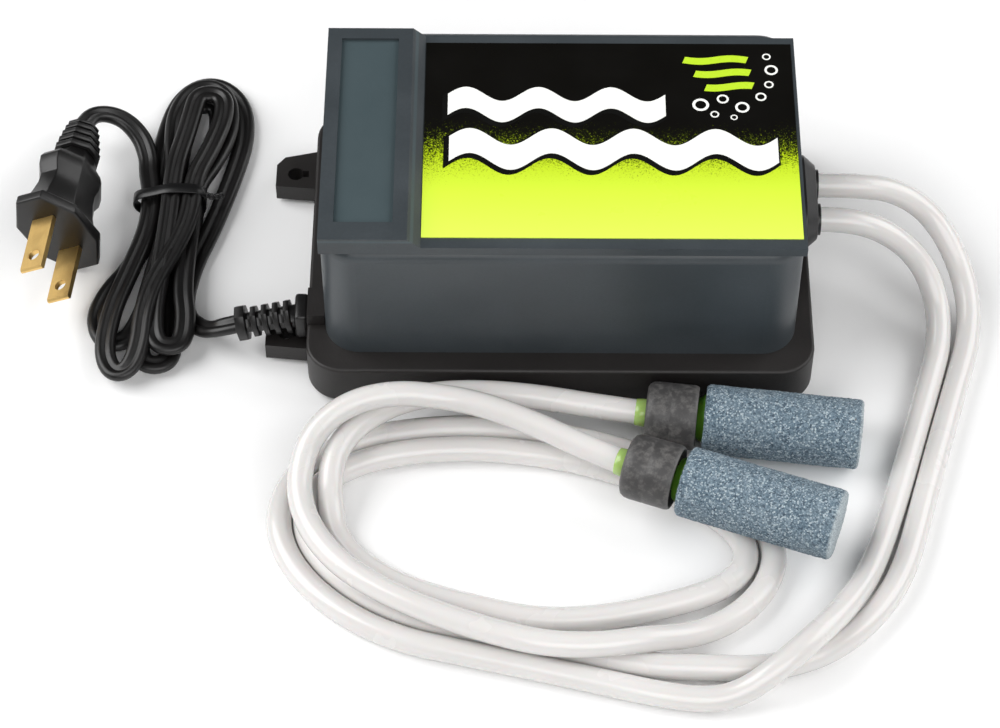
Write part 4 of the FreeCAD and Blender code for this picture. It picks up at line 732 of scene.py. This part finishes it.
def ribbed(ribs, core_start, core_end):
    """Stations of a relief. A rib is (start, end, width, length); the core tapers between the ribs."""
    first, last = ribs[0][0], ribs[-1][1]
    stations = []
    for start, end, width, length in ribs:
        share = (start - first) / (last - first)
        core = [a + (b - a) * share for a, b in zip(core_start, core_end)]
        stations += [(start, *core), (start, width, length), (end, width, length), (end, *core)]
    return stations


# %% Relief of the plug
PLUG_RIBS = [(-26.3, -27.9, 11.6, 12.4), (-28.9, -30.4, 10.8, 11.6), (-31.4, -32.8, 9.9, 10.6),
             (-33.8, -35.1, 9.0, 9.6), (-36.0, -37.0, 8.0, 8.4)]
plug_relief = eight_sided(ribbed(PLUG_RIBS, (8.6, 9.2), (6.0, 6.4)), plug_place, **RIB_EDGES)
hand_over(plug_relief, "plug_neck_ribs", cord_vinyl, ["plug_relief"])


# %% Relief of the case
RELIEF_ROOT = mm(-67.3, -24.7, 12.5)
RELIEF_AIM = Vector((-14.7, -0.6, -2.7)).normalized()
RELIEF_RIBS = [(0.9, 2.3, 8.0, 8.8), (3.8, 5.2, 7.8, 8.6), (6.7, 8.1, 7.6, 8.4), (9.6, 11.0, 7.4, 8.2),
               (12.5, 15.0, 8.4, 9.2)]
ROOT_LOW, ROOT_HIGH, ROOT_BEVEL = mm(-67.3, -28.9, 8.3), mm(-63.9, -20.5, 16.7), mm(0.9)


def join(pieces):
    only(pieces[0])
    for piece in pieces[1:]:
        piece.select_set(True)
    bpy.ops.object.join()
    return pieces[0]


core = eight_sided([(-1.5, 5.6, 5.4), *ribbed(RELIEF_RIBS, (5.6, 5.4), (4.8, 4.6))],
                   upright_frame(RELIEF_ROOT, RELIEF_AIM), **RIB_EDGES)
start_fresh()
bpy.ops.mesh.primitive_cube_add(size=1, location=(ROOT_LOW + ROOT_HIGH) / 2, scale=ROOT_HIGH - ROOT_LOW)
root = bpy.context.object
bpy.ops.object.transform_apply(location=True, rotation=True, scale=True)
bpy.ops.object.mode_set(mode="EDIT")
bpy.ops.mesh.bevel(offset=ROOT_BEVEL, segments=3, affect="EDGES")
bpy.ops.object.mode_set(mode="OBJECT")
case_relief = join([core, root])
smooth(case_relief, MOULDING_ANGLE)
hand_over(case_relief, "case_relief_ribs", cord_vinyl, ["strain_relief"])
print("the case's relief has", len(case_relief.data.polygons), "faces")


# %% [markdown]
# ## Weight rings
# Each stone hangs from a grey weight, a thick ring with soft edges. A thin parting line runs round it, where
# the two halves of the mould met, and the edge of its deep dish towards the stone has worn bright. Its
# profile goes from the face towards the tube, round the rim and down into the dish.
# %% Weight rings
RING_R, RING_L, RING_BORE, PARTING = 8.15, 12.8, 3.2, 0.08
RING_PROFILE = [(0.3, RING_BORE), (0.0, 4.4), (0.0, 6.6), (0.5, 7.5), (1.4, 8.0), (2.6, RING_R),
                (5.9, RING_R), (6.05, RING_R - PARTING), (6.2, RING_R - PARTING), (6.35, RING_R),
                (11.6, RING_R), (12.3, 8.0), (12.7, 7.75), (RING_L, 7.45), (12.5, 7.2), (10.6, 6.9),
                (10.4, 6.5), (10.3, RING_BORE)]


def lying(place, degrees):
    """A frame whose +Z lies level, turned by degrees from +X."""
    turn = math.radians(degrees)
    return upright_frame(place, Vector((math.cos(turn), math.sin(turn), 0)))


STONE_PLACES = {"rear": lying(mm(21.4, -52.5, 8.85), -6.9), "front": lying(mm(16.2, -73.0, 15.3), -19.8)}


def turned(profile, place, sides):
    """A round solid through pairs of height and radius, in millimetres, laid by a matrix."""
    piece = drawn_out([(height, 2 * radius, 2 * radius) for height, radius in profile], sides)
    piece.data.transform(place)
    return piece


rings = {end: turned(RING_PROFILE, place, sides=64) for end, place in STONE_PLACES.items()}
for ring in rings.values():
    smooth(ring, 30)
print("each ring has", len(rings["rear"].data.polygons), "faces")


# %% [markdown]
# Years of handling scuff a black moulding: its edges go pale and its flat parts get cloudy patches. The
# Geometry node's pointiness finds the edges.
# %% Ring finish
def ring_finish():
    finish = Finish("ring plastic", colour(52, 52, 52), 0.45)
    clouds = finish.noise(420, detail=8, roughness=0.72)
    patches = finish.ramp(clouds, (0.47, 0.0), (0.7, 0.9))
    edge = finish.add("ShaderNodeNewGeometry").outputs["Pointiness"]
    worn_edge = finish.ramp(edge, (0.53, 0.0), (0.62, 0.5))
    body = finish.mix(patches, colour(64, 63, 63), colour(112, 110, 108))
    finish.set_colour(finish.mix(worn_edge, body, colour(150, 147, 144)))
    finish.set_roughness(finish.vary(clouds, 0.34, 0.62))
    finish.set_bump(clouds, 0.2, 0.0002)
    return finish


ring_plastic = ring_finish()
for end, ring in rings.items():
    hand_over(ring, "weight_ring_" + end, ring_plastic, ["weight_rings"])


# %% [markdown]
# The last few millimetres of each tube are stretched over the green nipple inside the ring, so they are a
# little wider and the green shows through the milk.
# %% Tube ends on the nipples
GREEN_END = [(-2.7, 3.2), (-2.5, 3.36), (-1.2, 3.5), (0.8, 3.5), (1.2, 3.2)]
green_silicone = silicone_finish("silicone over green", colour(150, 186, 92), colour(178, 208, 122))
for end, place in STONE_PLACES.items():
    swollen = turned(GREEN_END, place, sides=32)
    smooth(swollen, 60)
    hand_over(swollen, "tube_end_swollen_" + end, green_silicone)
print("each green end is", round(GREEN_END[-1][0] - GREEN_END[0][0], 1), "mm long")


# %% [markdown]
# ## Air stones
# An air stone is fused grit, so its surface is rough at the size of a grain and its rims crumble a little.
# A drawn-out cylinder is remeshed into even squares a third of a millimetre wide, which gives Displace
# enough points to push about with two procedural textures: one for the grains and one for slow dents.
# %% Air stones
STONE_R, STONE_L = 8.7, 39.0
STONE_START = RING_L + 1.8
VOXEL = mm(0.36)
DENTS, GRAINS = (mm(6), mm(0.3), 0.62), (mm(0.65), mm(0.32), 0.5)  # size, depth and middle level
PALE_FROM, PALE_TO = mm(0.9), mm(0.3)
STONE_STATIONS = [(0, 8.0), (0.3, 8.45), (0.8, STONE_R), (STONE_L - 0.8, STONE_R), (STONE_L - 0.3, 8.45),
                  (STONE_L, 8.0)]


def push_about(stone, name, kind, size, strength, mid_level):
    texture = bpy.data.textures.new(name, kind)
    texture.noise_scale = size
    modifier(stone, "DISPLACE", texture=texture, strength=strength, texture_coords="GLOBAL",
             mid_level=mid_level)


def air_stone(place):
    stone = turned([(STONE_START + z, r) for z, r in STONE_STATIONS], place, sides=72)
    modifier(stone, "REMESH", mode="VOXEL", voxel_size=VOXEL)
    push_about(stone, "slow dents", "CLOUDS", *DENTS)
    push_about(stone, "grains", "VORONOI", *GRAINS)
    apply_modifiers(stone)
    smooth(stone, 60)
    return stone


stones = {end: air_stone(place) for end, place in STONE_PLACES.items()}
print("a stone has", len(stones["rear"].data.polygons), "faces")


# %% [markdown]
# Each grain of the stone has its own tone, which Voronoi cells give, and the far end is paler, where it was
# cut from its mould. A dot product measures how far along the stone's own axis a point lies.
# %% Grit finish
def grit_finish(name, place):
    finish = Finish(name, colour(112, 132, 148), 0.9)
    grains = finish.add("ShaderNodeTexVoronoi", {"Vector": finish.place, "Scale": 2700.0})
    grain_tone = finish.add("ShaderNodeSeparateXYZ", {0: grains.outputs["Color"]}).outputs[0]
    tone = finish.ramp(grain_tone, (0.0, colour(58, 74, 88)), (0.3, colour(96, 116, 130)),
                       (0.75, colour(126, 145, 157)), (1.0, colour(186, 198, 204)))
    clouds = finish.noise(170, detail=5, roughness=0.6)
    tone = finish.mix(finish.ramp(clouds, (0.45, 0.0), (0.75, 0.3)), tone, colour(146, 160, 168))
    rusty = finish.ramp(finish.noise(620, detail=2), (0.745, 0.0), (0.78, 0.8))
    tone = finish.mix(rusty, tone, colour(120, 88, 62))
    axis = place.to_3x3() @ Vector((0, 0, 1))
    dot = finish.add("ShaderNodeVectorMath", {0: finish.place, 1: axis}, operation="DOT_PRODUCT")
    far = place.translation.dot(axis) + mm(STONE_START + STONE_L)
    end = finish.spread(dot.outputs["Value"], far - PALE_FROM, far - PALE_TO, 0.0, 0.55)
    tone = finish.mix(end, tone, colour(206, 214, 216))
    gaps = finish.ramp(grains.outputs["Distance"], (0.4, 0.0), (0.8, 0.4))
    finish.set_colour(finish.mix(gaps, tone, colour(52, 66, 78)))
    finish.set_bump(finish.calc("SUBTRACT", 1.0, grains.outputs["Distance"]), 0.5, 0.0002)
    return finish


for end, stone in stones.items():
    grit = grit_finish("fused grit " + end, STONE_PLACES[end])
    hand_over(stone, "air_stone_" + end, grit, ["air_stones"])


# %% [markdown]
# ## The tie
# A plastic-covered wire holds the hank: a flat band round it with slack at the left, and a short twisted end
# at the right. The band is a ring of points listed round the hank's section, filled out by Solidify, and the
# twisted end is two flat strips that turn about each other.
# %% Band and twisted end
TIE_BAND = [(-93.4, 6.6), (-93.6, 3.0), (-94.4, 0.9), (-99.0, 0.6), (-106.0, 0.6), (-110.6, 1.0),
            (-112.4, 3.0), (-112.6, 6.0), (-110.6, 7.4), (-106.4, 8.6), (-103.4, 9.75), (-98.4, 9.8),
            (-94.8, 9.4), (-93.5, 7.6)]
TIE_Y, TIE_WIDTH, TIE_THICK, TIE_BEVEL = 20.5, 3.2, 0.5, 0.12
TAIL_LINE = [(-93.7, 20.4, 7.2), (-92.7, 20.3, 7.0), (-91.6, 20.2, 6.7), (-90.6, 20.3, 6.6),
             (-89.6, 20.6, 6.6), (-88.7, 21.0, 6.7)]
TAIL_WIDTH, TAIL_TWIST = 1.7, 1.3


def filled_out(strip, place):
    """Makes an extruded curve a mesh, lays it by a matrix and gives it the tie's thickness."""
    only(strip)
    bpy.ops.object.convert(target="MESH")
    strip.data.transform(place)
    modifier(strip, "SOLIDIFY", thickness=mm(TIE_THICK), offset=0.0)
    modifier(strip, "BEVEL", width=mm(TIE_BEVEL), segments=1, limit_method="ANGLE")
    apply_modifiers(strip)
    return strip


def tie_band():
    """The band's ring lies in a plane across the hank, so its strip is drawn flat and then stood up."""
    band = curve_piece("tie_band_line", [(x, z, 0.0) for x, z in TIE_BAND], dimensions="2D", closed=True,
                       fill_mode="NONE", extrude=mm(TIE_WIDTH) / 2, resolution_u=6)
    return filled_out(band, Matrix.Translation(mm(0, TIE_Y, 0)) @ Matrix.Rotation(math.pi / 2, 4, "X"))


def tie_tail(first_turn):
    """A strip that follows the tail's line and turns by the same angle from point to point."""
    tail = curve_piece("tie_end", TAIL_LINE, twist_mode="Z_UP", extrude=mm(TAIL_WIDTH) / 2, resolution_u=6)
    for step, control in enumerate(tail.data.splines[0].points):
        control.tilt = first_turn + TAIL_TWIST * step
    return filled_out(tail, Matrix())


tie = join([tie_band(), tie_tail(0.0), tie_tail(math.pi / 2)])
smooth(tie, 50)
hand_over(tie, "twist_tie_band", tie_plastic, ["twist_tie"])
print("the tie has", len(tie.data.polygons), "faces")


# %% [markdown]
# ## Print on the label
# The label carries bold white waves with a black shadow, three short lime bars and a few rings like bubbles.
# Ink has a thickness, so each colour is its own thin mesh that lies on the film: a grid of squares is bent
# into each wave in code, and one solidify gives the sheet its thickness.
# %% Label print helpers
LABEL_TOP = label_high[2]
INK = mm(0.05)
WAVE_STEPS = 24


def ink_sheet(width, height, steps):
    start_fresh()
    bpy.ops.mesh.primitive_grid_add(x_subdivisions=steps, y_subdivisions=2, size=1)
    sheet = bpy.context.object
    for vertex in sheet.data.vertices:
        vertex.co = (vertex.co.x * width, vertex.co.y * height, 0)
    return sheet


def place_ink(sheet, x, y, layer):
    """Gives a sheet its thickness and lays it on the film (layer 0) or on the first coat (layer 1)."""
    modifier(sheet, "SOLIDIFY", thickness=INK, offset=1.0)
    apply_modifiers(sheet)
    sheet.data.transform(Matrix.Translation(mm(x, y, 0) + Vector((0, 0, LABEL_TOP + layer * INK))))
    return sheet


def wave(x_left, x_right, y_low, y_high, crests, bold, grow=0.0):
    """A fat wave of even boldness. grow widens it all round, for its shadow."""
    width, height = mm(x_right - x_left), mm(y_high - y_low)
    sheet = ink_sheet(width + 2 * grow, 1.0, WAVE_STEPS * crests)
    for vertex in sheet.data.vertices:
        rise = math.sin((vertex.co.x / width + 0.5) * crests * math.tau)
        vertex.co.y = rise * height * (1 - bold) / 2 + vertex.co.y * (height * bold + 2 * grow)
    return sheet


# %% Waves and their shadow
WAVE_ROWS = [(-28.5, 26.0, 3.4, 15.4, 3, 0.6), (-28.0, 53.5, -12.4, 1.4, 4, 0.6)]
OUTLINE, SHADOW_SHIFT = mm(0.9), (0.5, 0.7)
whites, blacks = [], []
for row in WAVE_ROWS:
    middle = ((row[0] + row[1]) / 2, (row[2] + row[3]) / 2)
    whites.append(place_ink(wave(*row), *middle, 1))
    shadow = wave(*row, grow=OUTLINE)
    blacks.append(place_ink(shadow, middle[0] - SHADOW_SHIFT[0], middle[1] - SHADOW_SHIFT[1], 0))
print("the longest wave is", max(row[1] - row[0] for row in WAVE_ROWS), "mm long")


# %% [markdown]
# A bubble is a ring: a torus would stand too proud, so a circle is filled, inset, and its middle taken away.
# %% Bubbles and bars
BUBBLES = [(34.8, 9.6, 2.1), (40.4, 11.6, 1.5), (45.2, 8.8, 1.8), (50.0, 12.4, 1.4), (38.2, 6.4, 1.1),
           (52.2, 16.6, 1.2), (53.0, 21.6, 1.7), (52.0, 26.2, 1.1), (43.0, 5.4, 0.9)]
BARS = [(31.0, 47.0, 25.0), (33.6, 47.6, 20.4), (36.2, 48.2, 15.8)]
BUBBLE_INK = 0.34  # the share of a bubble's radius that is inked
BAR_HEIGHT, BAR_SLANT, BAR_SWAY, BAR_WAVE = mm(2.3), 0.35, mm(0.5), mm(16)


def bubble(x, y, radius):
    start_fresh()
    bpy.ops.mesh.primitive_circle_add(vertices=32, radius=mm(radius), fill_type="NGON")
    ring = bpy.context.object
    bpy.ops.object.mode_set(mode="EDIT")
    bpy.ops.mesh.inset(thickness=mm(radius) * BUBBLE_INK)
    bpy.ops.mesh.delete(type="FACE")
    bpy.ops.object.mode_set(mode="OBJECT")
    return place_ink(ring, x, y, 1)


def bar(x_left, x_right, y):
    sheet = ink_sheet(mm(x_right - x_left), BAR_HEIGHT, 12)
    for vertex in sheet.data.vertices:
        vertex.co.x += vertex.co.y * BAR_SLANT
        vertex.co.y += BAR_SWAY * math.sin(vertex.co.x / BAR_WAVE * math.tau)
    return place_ink(sheet, (x_left + x_right) / 2, y, 1)


# %% Ink finishes
def ink(name, base, worn):
    finish = Finish(name, base, 0.3, Specular_IOR_Level=0.25)
    wear = finish.ramp(finish.noise(330, detail=6, roughness=0.7), (0.6, 0.0), (0.72, 0.5))
    finish.set_colour(finish.mix(wear, base, worn))
    finish.set_roughness(finish.vary(finish.noise(160, detail=3), 0.22, 0.36))
    finish.set_bump(finish.noise(160, detail=2), 0.05, 0.0004)
    return finish


white_ink = ink("white ink", colour(244, 245, 240), colour(222, 224, 214))
black_ink = ink("black ink", colour(16, 16, 15), colour(34, 34, 30))
lime_ink = ink("lime ink", colour(190, 226, 50), colour(160, 196, 40))
hand_over(join(whites + [bubble(*b) for b in BUBBLES]), "label_print_white", white_ink)
hand_over(join(blacks), "label_print_black", black_ink)
hand_over(join([bar(*b) for b in BARS]), "label_print_lime", lime_ink)


# %% [markdown]
# ## The room
# A pale floor, a pale sky that dims towards its top, and three large soft lamps give the light of a
# catalogue picture. The dim top keeps the black label and the dark case from turning grey with its
# reflection.
# %% Floor
FLOOR_SIZE = 6.0
start_fresh()
bpy.ops.mesh.primitive_plane_add(size=FLOOR_SIZE, location=(0, 0, 0))
floor = bpy.context.object
floor_finish = Finish("studio floor", colour(250, 250, 250), 0.7)
floor_finish.set_roughness(floor_finish.vary(floor_finish.noise(8), 0.66, 0.74))
floor.data.materials.append(floor_finish.material)
floor.name = "studio_floor"


# %% Lamps and sky
LAMPS = {  # place, size across and up, and power; each lamp looks at the origin
    "left lamp": ((-1.1, 0.1, 1.0), (1.3, 1.3), 23),
    "right lamp": ((1.2, 0.3, 0.9), (1.3, 1.1), 14),
    "front lamp": ((0.3, -1.1, 1.0), (1.6, 1.0), 14),
}
SKY_DIMMING = {"From Min": 0.25, "From Max": 0.7, "To Min": 1.75, "To Max": 0.5}
for name, (place, size, power) in LAMPS.items():
    light = bpy.data.lights.new(name, "AREA")
    light.shape = "RECTANGLE"
    light.size, light.size_y = size
    light.energy = power
    lamp = bpy.data.objects.new(name, light)
    bpy.context.collection.objects.link(lamp)
    lamp.location = place
    lamp.rotation_euler = (-Vector(place)).to_track_quat("-Z", "Y").to_euler()

sky = bpy.data.worlds.new("studio sky")
sky.use_nodes = True
sky_nodes, sky_links = sky.node_tree.nodes, sky.node_tree.links
direction = sky_nodes.new("ShaderNodeTexCoord")
height = sky_nodes.new("ShaderNodeSeparateXYZ")
dimming = sky_nodes.new("ShaderNodeMapRange")
for socket, value in SKY_DIMMING.items():
    dimming.inputs[socket].default_value = value
sky_links.new(direction.outputs["Generated"], height.inputs[0])
sky_links.new(height.outputs["Z"], dimming.inputs["Value"])
sky_links.new(dimming.outputs[0], sky_nodes["Background"].inputs["Strength"])
bpy.context.scene.world = sky
bpy.context.scene.view_settings.view_transform = "Standard"
bpy.context.scene.view_settings.look = "None"
